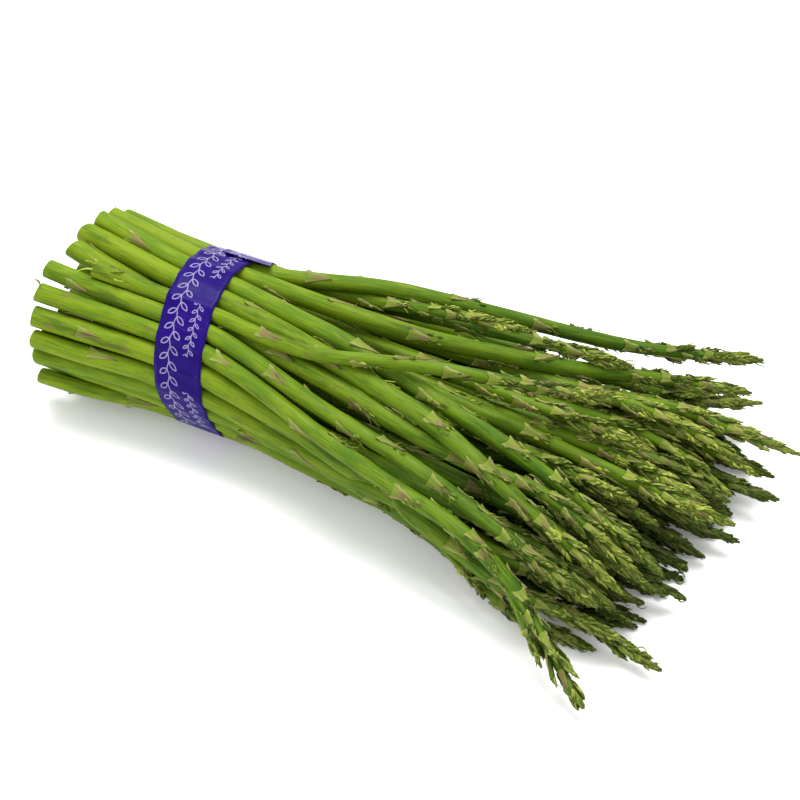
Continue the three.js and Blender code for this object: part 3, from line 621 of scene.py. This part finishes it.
def add_spear(name, number):
    """One whole spear over its solid: stem, bracts, head and any side shoot."""
    rng = np.random.default_rng(SPEAR_SEED + number)
    stations = read_stations(name)
    line = smooth_line(stations)
    head_x = stations[-HEAD_RINGS - 1, 0]
    head_s = np.interp(head_x, line["p"][:, 0], line["s"])
    loose, wilt, opened, tone = spear_looks(name, stations[-1, 2], rng)
    early = EARLY_LOBES if name in EARLY_SPEARS else 0
    spear = {
        "stations": stations, "line": line, "head_s": head_s, "rng": rng, "number": number,
        "turn": rng.uniform(0, TAU), "tone": tone, "wilt": wilt, "loose": loose, "open": opened,
        "unit": MM, "low": 0.0, "budding": 0.48, "lobes": LOBES, "lobes_from": head_s - early,
        "buds": BUDS_PER_SEEN_LOBE if name in SPEAR_LOOKS else BUDS_PER_LOBE,
        "blunt": BLUNT_EXTRA if name == BLUNT_SPEAR else 0.0, "surfaces": Surfaces(),
    }
    spear["bract_s"] = bract_places(line, head_s, rng)
    stem_surface(spear)
    add_bracts(spear)
    add_head(spear)
    for owner, start, turn, length, lean, curl, thick, shade in LOOSE_ENDS:
        if owner == name:
            root = stem_radius(spear, start * MM) - 0.3 * MM
            strand_surfaces(
                spear, start * MM, turn, root, length * MM, lean, curl, thick * MM, rows=10,
                shade=shade)
    if name in SIDE_SHOOTS:
        add_side_shoot(name, spear)
    obj = spear["surfaces"].build(f"{name}_fine", [STEM, SCALE, BUD, CUT_FACE])
    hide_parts(name)
    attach(obj, "root")
    return spear


def add_side_shoot(name, parent):
    """A thin side shoot in its parent's mesh: a small stem, bracts and head, on a straight line
    that rises a little in its middle."""
    root, tip = (np.array(end) * MM for end in SIDE_SHOOTS[name])
    t = np.linspace(0, 1, HEAD_RINGS + 8)[:, None]
    points = mix(root, tip, t)
    points[:, 2] += (2.5 * t * (1 - t))[:, 0] * MM
    radius = np.interp(t[:, 0], [0, 0.6, 0.75, 1], [1.3, 1.0, 1.9, 0.9]) * MM
    stations = np.column_stack([points, radius])
    line = smooth_line(stations, passes=4)
    rng = np.random.default_rng(SHOOT_SEED + parent["number"])
    head_s = line["s"][-1] * 0.5
    shoot = {
        "stations": stations, "line": line, "head_s": head_s, "rng": rng,
        "number": parent["number"] + SHOOT_NUMBERS, "turn": 0.5, "tone": 0.6, "wilt": 0.0,
        "loose": 0.35, "open": 0.2, "unit": 0.5 * MM, "low": 0.5, "budding": 0.2, "lobes": 11,
        "lobes_from": head_s, "buds": 3, "blunt": 0.0, "surfaces": parent["surfaces"],
        "bract_s": np.array([0.16, 0.36]) * line["s"][-1],
    }
    stem_surface(shoot)
    add_bracts(shoot)
    add_head(shoot)
    drop_surfaces(
        shoot, np.array([0.56, 0.63]) * line["s"][-1], np.array([-2.4, -1.2]), 0.8 * MM, 1.8 * MM,
        3.0 * MM, 1.2 * MM, 1.1 * MM, columns=8, shade=-0.4)


# Shader building

def new_material(name):
    """An empty node material with its surface shader, ready to be wired."""
    material = bpy.data.materials.new(name)
    material.use_nodes = True
    tree = material.node_tree
    return material, tree, tree.nodes["Principled BSDF"]


def socket(tree, value, target):
    """Feeds a socket with another node's output or a plain value."""
    if isinstance(value, bpy.types.NodeSocket):
        tree.links.new(value, target)
    else:
        target.default_value = value


def maths(tree, operation, a, b=0.0, c=0.0, clamp=False):
    """A Math node's output."""
    node = tree.nodes.new("ShaderNodeMath")
    node.operation = operation
    node.use_clamp = clamp
    for value, target in zip((a, b, c), node.inputs):
        socket(tree, value, target)
    return node.outputs[0]


def times(tree, a, b):
    """The product of two values."""
    return maths(tree, "MULTIPLY", a, b)


def plus(tree, a, b, clamp=False):
    """The sum of two values."""
    return maths(tree, "ADD", a, b, clamp=clamp)


def blend(tree, factor, a, b):
    """A colour Mix node's output."""
    node = tree.nodes.new("ShaderNodeMix")
    node.data_type = "RGBA"
    socket(tree, factor, node.inputs["Factor"])
    for value, target in ((a, node.inputs[6]), (b, node.inputs[7])):
        socket(tree, (*value, 1) if isinstance(value, tuple) else value, target)
    return node.outputs[2]


def span(tree, value, low, high, to_low=0.0, to_high=1.0):
    """A clamped Map Range node's output, smooth between its ends."""
    node = tree.nodes.new("ShaderNodeMapRange")
    node.interpolation_type = "SMOOTHSTEP"
    for v, target in zip((value, low, high, to_low, to_high), node.inputs):
        socket(tree, v, target)
    return node.outputs[0]


def attribute(tree, name, output="Fac"):
    """A point value of the mesh."""
    node = tree.nodes.new("ShaderNodeAttribute")
    node.attribute_name = name
    return node.outputs[output]


def noise(tree, vector, scale, detail=3.0, roughness=0.55):
    """A Noise node's factor."""
    node = tree.nodes.new("ShaderNodeTexNoise")
    socket(tree, vector, node.inputs["Vector"])
    node.inputs["Scale"].default_value = scale
    node.inputs["Detail"].default_value = detail
    node.inputs["Roughness"].default_value = roughness
    return node.outputs["Fac"]


def stretch(tree, vector, scales):
    """The vector scaled along each of its axes."""
    node = tree.nodes.new("ShaderNodeMapping")
    socket(tree, vector, node.inputs["Vector"])
    node.inputs["Scale"].default_value = scales
    return node.outputs[0]


def bump(tree, height, strength, distance):
    """A Bump node's normal."""
    node = tree.nodes.new("ShaderNodeBump")
    node.inputs["Strength"].default_value = strength
    node.inputs["Distance"].default_value = distance
    socket(tree, height, node.inputs["Height"])
    return node.outputs[0]


def tinted(tree, colour, *layers):
    """The colour under layers, each a factor and the colour that it brings in."""
    for factor, tint in layers:
        colour = blend(tree, factor, colour, tint)
    return colour


def finish_shader(tree, shader, colour, rough, shine, height, strength, depth):
    """Gives a shader its colour, roughness, specular level and bump."""
    normal = bump(tree, height, strength, depth)
    names = ("Base Color", "Roughness", "Specular IOR Level", "Normal")
    for value, name in zip((colour, rough, shine, normal), names):
        socket(tree, value, shader.inputs[name])


def make_fibre_group():
    """Plant fibre, for every green surface: long fine streaks, soft mottling, long stains and
    sparse scuffs, from the point's place in the straightened spear."""
    group = bpy.data.node_groups.new("Plant fibre", "ShaderNodeTree")
    group.interface.new_socket("Grain", in_out="INPUT", socket_type="NodeSocketVector")
    scuffs = group.interface.new_socket("Scuff amount", in_out="INPUT", socket_type="NodeSocketFloat")
    scuffs.default_value = 0.5
    for name in ("Streaks", "Mottle", "Stains", "Scuffs"):
        group.interface.new_socket(name, in_out="OUTPUT", socket_type="NodeSocketFloat")
    into = group.nodes.new("NodeGroupInput")
    out = group.nodes.new("NodeGroupOutput")
    grain = into.outputs["Grain"]
    streaks = noise(group, stretch(group, grain, (1, 1, 0.045)), 1500, 2.0, 0.6)
    mottle = noise(group, stretch(group, grain, (1, 1, 0.3)), 190, 3.0, 0.6)
    stains = noise(group, stretch(group, grain, (1, 1, 0.16)), 150, 4.0, 0.6)
    spots = noise(group, stretch(group, grain, (1.03, 1, 0.4)), 270, 5.0, 0.65)
    edge = maths(group, "MULTIPLY_ADD", into.outputs["Scuff amount"], -0.12, 0.72)
    stained = span(group, stains, 0.54, 0.67)
    scuffed = span(group, spots, edge, plus(group, edge, 0.06))
    for value, target in zip((streaks, mottle, stained, scuffed), out.inputs):
        group.links.new(value, target)
    return group


def fibre(tree, scuffs):
    """The plant fibre group placed in a material: its streaks, mottle, stains and scuffs."""
    node = tree.nodes.new("ShaderNodeGroup")
    node.node_tree = FIBRE
    node.inputs["Scuff amount"].default_value = scuffs
    tree.links.new(attribute(tree, "grain", "Vector"), node.inputs["Grain"])
    return node.outputs


def make_stem_material():
    """Waxy stem: yellow-green low down, deeper green towards the head, each spear its own tone,
    with dark green stains and tan scuffs. A dull spear darkens towards its head, partly for
    wilt and partly as painted shade on heads that lie low."""
    material, tree, shader = new_material("Asparagus stem")
    streaks, mottle, stains, scuffs = fibre(tree, 0.8)
    up = span(tree, attribute(tree, "along"), 0.12, 0.9)
    light = blend(tree, up, (0.156, 0.224, 0.006), (0.100, 0.176, 0.006))
    deep = blend(tree, up, (0.090, 0.168, 0.006), (0.036, 0.094, 0.005))
    streaked = span(tree, streaks, 0.35, 0.7, -0.45, 0.5)
    mottled = span(tree, mottle, 0.3, 0.7, -0.5, 0.5)
    toned = plus(tree, attribute(tree, "tone"), streaked)
    amount = plus(tree, toned, mottled, clamp=True)
    # Dull spears darker towards the head: partly wilt, partly painted shade on low heads
    wilted = times(tree, attribute(tree, "wilt"), up)
    green = tinted(
        tree, blend(tree, amount, light, deep),
        (times(tree, stains, 0.7), (0.036, 0.066, 0.005)),
        (times(tree, scuffs, 0.75), (0.150, 0.120, 0.038)),
        (times(tree, wilted, 0.6), (0.028, 0.055, 0.006)))
    rough = span(tree, mottle, 0.3, 0.7, 0.42, 0.62)
    height = plus(tree, streaks, scuffs)
    finish_shader(tree, shader, green, rough, 0.1, height, 0.5, 0.0003)
    return material


def make_scale_material():
    """Papery scale: a yellow-green lip at the foot, then a pinkish tan film with pale edges and a
    brown point, thinner and greener near the head, dull on a wilted spear; that dulling is
    partly wilt and partly painted shade on heads that lie low."""
    material, tree, shader = new_material("Papery scale")
    streaks, mottle, stains, _ = fibre(tree, 0.6)
    u = attribute(tree, "leaf_u")
    side = maths(tree, "ABSOLUTE", attribute(tree, "leaf_v"))
    tone = attribute(tree, "tone")
    shade = attribute(tree, "shade")
    high = span(tree, attribute(tree, "along"), 0.6, 0.88)
    mottled = span(tree, mottle, 0.3, 0.7, -0.18, 0.18)
    reach = plus(tree, u, mottled)
    lip = blend(tree, tone, (0.210, 0.265, 0.030), (0.138, 0.212, 0.022))
    lip = blend(tree, span(tree, side, 0.45, 0.95), lip, (0.315, 0.355, 0.090))
    upper = blend(tree, tone, (0.290, 0.300, 0.064), (0.165, 0.190, 0.034))
    film = blend(tree, high, (0.225, 0.180, 0.064), upper)
    film = blend(tree, span(tree, shade, 0.0, 1.0, 0.0, 0.75), film, (0.125, 0.080, 0.034))
    past = maths(tree, "SUBTRACT", reach, span(tree, shade, -1.0, 1.0, 0.3, -0.15))
    browned = plus(tree, reach, stains)
    pale = times(tree, span(tree, side, 0.55, 0.9), span(tree, u, 0.02, 0.15, 0.0, 0.75))
    colour = tinted(
        tree, lip,
        (span(tree, past, 0.08, 0.42), film),
        (span(tree, browned, 0.5, 1.2, 0.0, 0.85), (0.090, 0.050, 0.026)),
        (pale, (0.315, 0.295, 0.125)),
        (span(tree, streaks, 0.4, 0.7, 0.0, 0.5), (0.060, 0.056, 0.016)),
        # Dull spears darker: partly wilt, partly painted shade on low heads
        (times(tree, attribute(tree, "wilt"), 0.7), (0.028, 0.032, 0.009)))
    height = plus(tree, streaks, mottle)
    finish_shader(tree, shader, colour, 0.6, 0.08, height, 0.4, 0.0002)
    return material


def make_bud_material():
    """Buds: yellow-green drops with darker, purplish points and knobbly skins, duller on a
    wilted head. The dips between the knobs are darker: painted shade. Points that lie deep
    inside a head's outline darken as painted shade in its crevices. The dulling of a wilted
    head darkens it, partly for wilt and partly as painted shade on heads that lie low."""
    material, tree, shader = new_material("Asparagus bud")
    _, mottle, _, _ = fibre(tree, 0.3)
    u = attribute(tree, "leaf_u")
    side = maths(tree, "ABSOLUTE", attribute(tree, "leaf_v"))
    knobs = tree.nodes.new("ShaderNodeTexVoronoi")
    place_in = stretch(tree, attribute(tree, "grain", "Vector"), (1, 1, 0.7))
    tree.links.new(place_in, knobs.inputs["Vector"])
    knobs.inputs["Scale"].default_value = 900
    knob = span(tree, knobs.outputs["Distance"], 0.15, 0.65)
    fresh = blend(tree, attribute(tree, "tone"), (0.470, 0.545, 0.080), (0.205, 0.310, 0.036))
    # Darker in the dips between the knobs: painted shade; plus each bud's own shade value
    shaded = plus(tree, times(tree, knob, 0.38), attribute(tree, "shade"), clamp=True)
    edge = span(tree, side, 0.6, 0.95, 0.0, 0.8)
    rim = maths(tree, "MAXIMUM", edge, span(tree, u, 0.62, 1.0, 0.0, 0.75))
    rim = times(tree, rim, maths(tree, "MULTIPLY_ADD", attribute(tree, "rim"), 0.75, 0.25))
    colour = tinted(
        tree, fresh,
        (span(tree, attribute(tree, "along"), 0.7, 1.0, 0.0, 0.5), (0.380, 0.410, 0.085)),
        (shaded, (0.066, 0.114, 0.010)),
        (rim, (0.100, 0.074, 0.024)),
        # Deep inside the head's outline: painted shade in its crevices
        (span(tree, attribute(tree, "depth"), 0.15, 0.95, 0.0, 0.85), (0.018, 0.036, 0.004)),
        (span(tree, mottle, 0.4, 0.7, 0.0, 0.6), (0.040, 0.080, 0.009)),
        # Wilted heads darker: partly wilt, partly painted shade on low heads
        (times(tree, attribute(tree, "wilt"), 0.85), (0.016, 0.030, 0.006)))
    height = maths(tree, "SUBTRACT", mottle, knob)
    finish_shader(tree, shader, colour, 0.5, 0.06, height, 0.5, 0.0003)
    return material


def make_cut_material():
    """The cut end: pale flesh with darker fibre dots, drying brown in places."""
    material, tree, shader = new_material("Cut end")
    _, _, _, scuffs = fibre(tree, 0.9)
    dots = noise(tree, attribute(tree, "grain", "Vector"), 1900, 1.0, 0.5)
    flesh = blend(tree, span(tree, dots, 0.42, 0.62), (0.130, 0.165, 0.030), (0.235, 0.260, 0.090))
    dried = times(tree, scuffs, 0.8)
    colour = blend(tree, dried, flesh, (0.120, 0.080, 0.030))
    finish_shader(tree, shader, colour, 0.55, 0.5, dots, 0.4, 0.0002)
    return material


def band_mask(tree, value, middle, width):
    """1 where the value is within half the width of the middle."""
    away = maths(tree, "ABSOLUTE", maths(tree, "SUBTRACT", value, middle))
    return maths(tree, "LESS_THAN", away, width / 2)


def leaf_line(tree, x, y, length, width, stroke):
    """1 on the outline of a pointed leaf that lies along x: the outline is the edge of the
    overlap of two equal discs, one centred above and one below."""
    reach = (length ** 2 / 4 + width ** 2 / 4) / width
    far = plus(tree, maths(tree, "ABSOLUTE", y), reach - width / 2)
    square = plus(tree, times(tree, x, x), times(tree, far, far))
    return band_mask(tree, maths(tree, "SQRT", square), reach - stroke / 2, stroke)


def repeat_over(tree, value, cell):
    """The value within its own cell, from minus half a cell to half a cell."""
    share = maths(tree, "FRACT", maths(tree, "DIVIDE", value, cell))
    return maths(tree, "MULTIPLY_ADD", share, cell, -cell / 2)


def vine(tree, run, y, size, stroke):
    """1 on a waving line with outlined pointed leaves that lean forward, by turns on its left
    and right."""
    below = maths(tree, "LESS_THAN", y, 0.0)
    x = repeat_over(tree, maths(tree, "MULTIPLY_ADD", below, 3.0 * size, run), 6.0 * size)
    up = maths(tree, "SUBTRACT", maths(tree, "ABSOLUTE", y), 2.2 * size)
    ahead = plus(tree, times(tree, x, 0.64), times(tree, up, 0.77))
    aside = maths(tree, "SUBTRACT", times(tree, up, 0.64), times(tree, x, 0.77))
    leaf = leaf_line(tree, ahead, aside, 4.6 * size, 2.3 * size, stroke)
    wave = maths(tree, "SINE", times(tree, run, TAU / (6.0 * size)))
    stalk = band_mask(tree, maths(tree, "MULTIPLY_ADD", wave, -0.35 * size, y), 0, stroke)
    return maths(tree, "MAXIMUM", leaf, stalk)


def make_tape_material():
    """Glossy indigo film with a plain white line print of two leafy vines, one large and one
    small. Pale patches lie over it, partly scuffs and partly painted sheen, and soft creases."""
    material, tree, shader = new_material("Indigo tape")
    run = attribute(tree, "tape_run")
    across = attribute(tree, "tape_across")
    large = vine(tree, run, maths(tree, "SUBTRACT", across, LARGE_VINE_AT), 1.0, 0.48)
    small = vine(tree, run, maths(tree, "SUBTRACT", across, SMALL_VINE_AT), 0.6, 0.40)
    share = maths(tree, "FRACT", maths(tree, "DIVIDE", run, SMALL_VINE_REPEAT))
    small = times(tree, small, maths(tree, "LESS_THAN", share, SMALL_VINE_SHARE))
    white = maths(tree, "MAXIMUM", large, small)
    where = tree.nodes.new("ShaderNodeTexCoord").outputs["Object"]
    cloud = span(tree, noise(tree, where, 70, 3.0, 0.6), 0.35, 0.7)
    worn = span(tree, noise(tree, where, 900, 2.0), 0.3, 0.55, 0.6, 0.9)
    # Pale patches: partly scuffs, partly painted sheen on the film
    scuffs = noise(tree, stretch(tree, where, (0.3, 1, 1)), 420, 4.0, 0.65)
    colour = tinted(
        tree, blend(tree, cloud, (0.009, 0.001, 0.100), (0.013, 0.002, 0.125)),
        (times(tree, white, worn), (0.250, 0.225, 0.370)),
        (span(tree, scuffs, 0.62, 0.72, 0.0, 0.25), (0.120, 0.100, 0.250)))
    rough = span(tree, noise(tree, where, 240, 3.0), 0.3, 0.7, 0.22, 0.36)
    crease = noise(tree, stretch(tree, where, (0.25, 1, 1)), 120, 2.0, 0.5)
    finish_shader(tree, shader, colour, rough, 0.07, crease, 0.2, 0.0006)
    return material


def make_floor_material():
    """A plain pale surface with the least unevenness, and a faint glow that lightens the shadows
    on it: painted light.
    """
    material, tree, shader = new_material("Pale table")
    where = tree.nodes.new("ShaderNodeTexCoord").outputs["Object"]
    tint = span(tree, noise(tree, where, 6, 2.0), 0.3, 0.7)
    colour = blend(tree, tint, (0.90, 0.90, 0.90), (0.92, 0.92, 0.92))
    tree.links.new(colour, shader.inputs["Base Color"])
    shader.inputs["Roughness"].default_value = 0.6
    # A faint glow: painted light that lightens the shadows on the table
    shader.inputs["Emission Color"].default_value = (1, 1, 1, 1)
    shader.inputs["Emission Strength"].default_value = 0.1
    return material


# The tape

def section_at(lines, w):
    """Centres, from the tape's own centre, and radii of every stem where the leaning plane that
    lies w along X from the tape's start cuts it."""
    centres, radii = [], []
    for spear in lines:
        p = spear["line"]["p"]
        offset = p[:, 0] - TAPE_START - tape_lean(p[:, 1], p[:, 2]) - w
        at = [np.interp(0, offset, p[:, i]) for i in range(3)]
        centres.append((at[1] - TAPE_CENTRE[0], at[2] - TAPE_CENTRE[1]))
        stations = spear["stations"]
        radii.append(np.interp(at[0], stations[:, 0], stations[:, 3]))
    return np.array(centres), np.array(radii)


def film_radius(lines, w_to, angle):
    """How far out the film lies at each angle: the least of reach over cosine, which is the
    convex outline of the tied stems. Their reach in a direction from the tape's centre is the
    farthest of centre dot direction plus radius over every stem and place."""
    directions = TAU * np.arange(HULL_STEPS) / HULL_STEPS
    normal = np.stack([np.cos(directions), np.sin(directions)])
    far = np.full(HULL_STEPS, -np.inf)
    for w in np.linspace(-1 * MM, w_to + 1 * MM, 9):
        centres, radii = section_at(lines, w)
        far = np.maximum(far, (centres @ normal + radii[:, None]).max(0))
    lean = np.cos(directions[None] - angle[:, None])
    return np.where(lean > 0.3, (far[None] + TAPE_OFF) / np.maximum(lean, 0.3), np.inf).min(1)


def stem_outline(lines, w, angle):
    """The radius of the outermost stem surface met by a ray at each angle."""
    centres, radii = section_at(lines, w)
    ray = np.stack([np.cos(angle), np.sin(angle)])
    ahead = centres @ ray
    miss = (centres ** 2).sum(1)[:, None] - ahead ** 2
    inside = radii[:, None] ** 2 - miss
    return np.where(inside > 0, ahead + np.sqrt(np.maximum(inside, 0)), 0).max(0)


def film_grid(radius, angle, across, slip, run):
    """The film as a flat tube, out along its outer face and back along its inner one. radius is
    across × angle. The sections follow the angle backwards, so that the faces look outward."""
    y = TAPE_CENTRE[0] + radius * np.cos(angle)
    z = np.maximum(TAPE_CENTRE[1] + radius * np.sin(angle), TABLE_GAP)
    outer = np.stack([TAPE_START + across[:, None] + slip + tape_lean(y, z), y, z], -1)
    inward = np.stack([0 * radius, np.cos(angle) + 0 * radius, np.sin(angle) + 0 * radius], -1)
    inner = outer - inward * TAPE_FILM
    grid = np.concatenate([outer, inner[::-1]]).transpose(1, 0, 2)[None, ::-1]
    there = np.concatenate([across, across[::-1]])
    return grid, {"tape_run": run[::-1, None] / MM, "tape_across": there / MM}


def add_tape(lines):
    """The tape: a thin film pulled round the stems. It follows their convex outline and sinks a
    little into the gaps between them. Its tail laps over the start on top and slips sideways."""
    surfaces = Surfaces()
    angle = TAU * np.arange(TAPE_STEPS + 1) / TAPE_STEPS
    across = np.linspace(0, TAPE_WIDTH, 15)
    hull = film_radius(lines, TAPE_WIDTH, angle)
    rows = []
    for w in across:
        stems = stem_outline(lines, w, angle[:-1]) + 0.3 * MM
        sag = np.clip(hull[:-1] - stems, 0, 1.5 * MM) * 0.2
        kernel = np.hanning(13)
        sag = np.convolve(np.concatenate([sag[-6:], sag, sag[:6]]), kernel / kernel.sum(), "valid")
        rows.append(hull - np.append(sag, sag[0]))
    steps = np.hypot(*np.diff([hull * np.cos(angle), hull * np.sin(angle)]))
    run = np.concatenate([[0], np.cumsum(steps)])
    slip = 0.2 * MM * np.sin(3 * angle + 1) + 0.1 * MM * np.sin(11 * angle)
    grid, values = film_grid(np.array(rows), angle, across, slip, run)
    surfaces.add(grid, 0, values, caps=(False, False))

    t = np.linspace(0, 1, 60)
    tail_angle = np.radians(mix(TAIL_FROM, TAIL_TO, t))
    base = film_radius(lines, TAPE_WIDTH + TAIL_SLIP, tail_angle)
    lift = mix(0.05, 0.45, smooth(t / 0.2)) * MM + 0.25 * MM * smooth((t - 0.85) / 0.15)
    tail = base[None] + lift[None] + 0 * across[:, None]
    tail_run = np.interp(tail_angle, angle, run) + TAIL_PRINT
    grid, values = film_grid(tail, tail_angle, across, TAIL_SLIP * t ** 1.4, tail_run)
    surfaces.add(grid, 0, values)

    obj = surfaces.build("tape_film", [TAPE])
    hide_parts("tape_band")
    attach(obj, "root")


# The stage

def add_floor():
    """A wide pale table under the bunch."""
    w = TABLE_HALF
    mesh = bpy.data.meshes.new("table")
    mesh.from_pydata([(-w, -w, 0), (w, -w, 0), (w, w, 0), (-w, w, 0)], [], [(0, 1, 2, 3)])
    mesh.materials.append(make_floor_material())
    floor = add_object("table", mesh)


def add_light(name, place_at, aim, size, power):
    """A square soft light aimed at a point."""
    light = bpy.data.lights.new(name, "AREA")
    light.size = size
    light.energy = power
    obj = add_object(name, light)
    obj.location = place_at
    towards = Vector(aim) - Vector(place_at)
    obj.rotation_euler = towards.to_track_quat("-Z", "Y").to_euler()


def add_stage():
    """Floor, soft overhead light, pale surroundings and the camera."""
    add_floor()
    for light in LIGHTS:
        add_light(*light)
    world = bpy.data.worlds.new("pale room")
    world.use_nodes = True
    background = world.node_tree.nodes["Background"]
    background.inputs["Color"].default_value = (1.0, 1.0, 1.0, 1)
    background.inputs["Strength"].default_value = 1.0
    bpy.context.scene.world = world
    bpy.context.scene.view_settings.view_transform = "Standard"
    camera = bpy.data.cameras.new("camera")
    camera.lens = VIEW_LENS
    camera.sensor_width = VIEW_SENSOR
    obj = add_object("camera", camera)
    a, e = np.radians(VIEW_AZIMUTH), np.radians(VIEW_ELEVATION)
    back = Vector((np.sin(a) * np.cos(e), -np.cos(a) * np.cos(e), np.sin(e)))
    obj.location = Vector(VIEW_TARGET) + back * VIEW_DISTANCE
    obj.rotation_euler = (-back).to_track_quat("-Z", "Y").to_euler()
    bpy.context.scene.camera = obj


FIBRE = make_fibre_group()
STEM = make_stem_material()
SCALE = make_scale_material()
BUD = make_bud_material()
CUT_FACE = make_cut_material()
TAPE = make_tape_material()

names = sorted(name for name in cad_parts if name.startswith("spear_"))
all_spears = [add_spear(name, number) for number, name in enumerate(names)]
add_tape(all_spears)
add_stage()
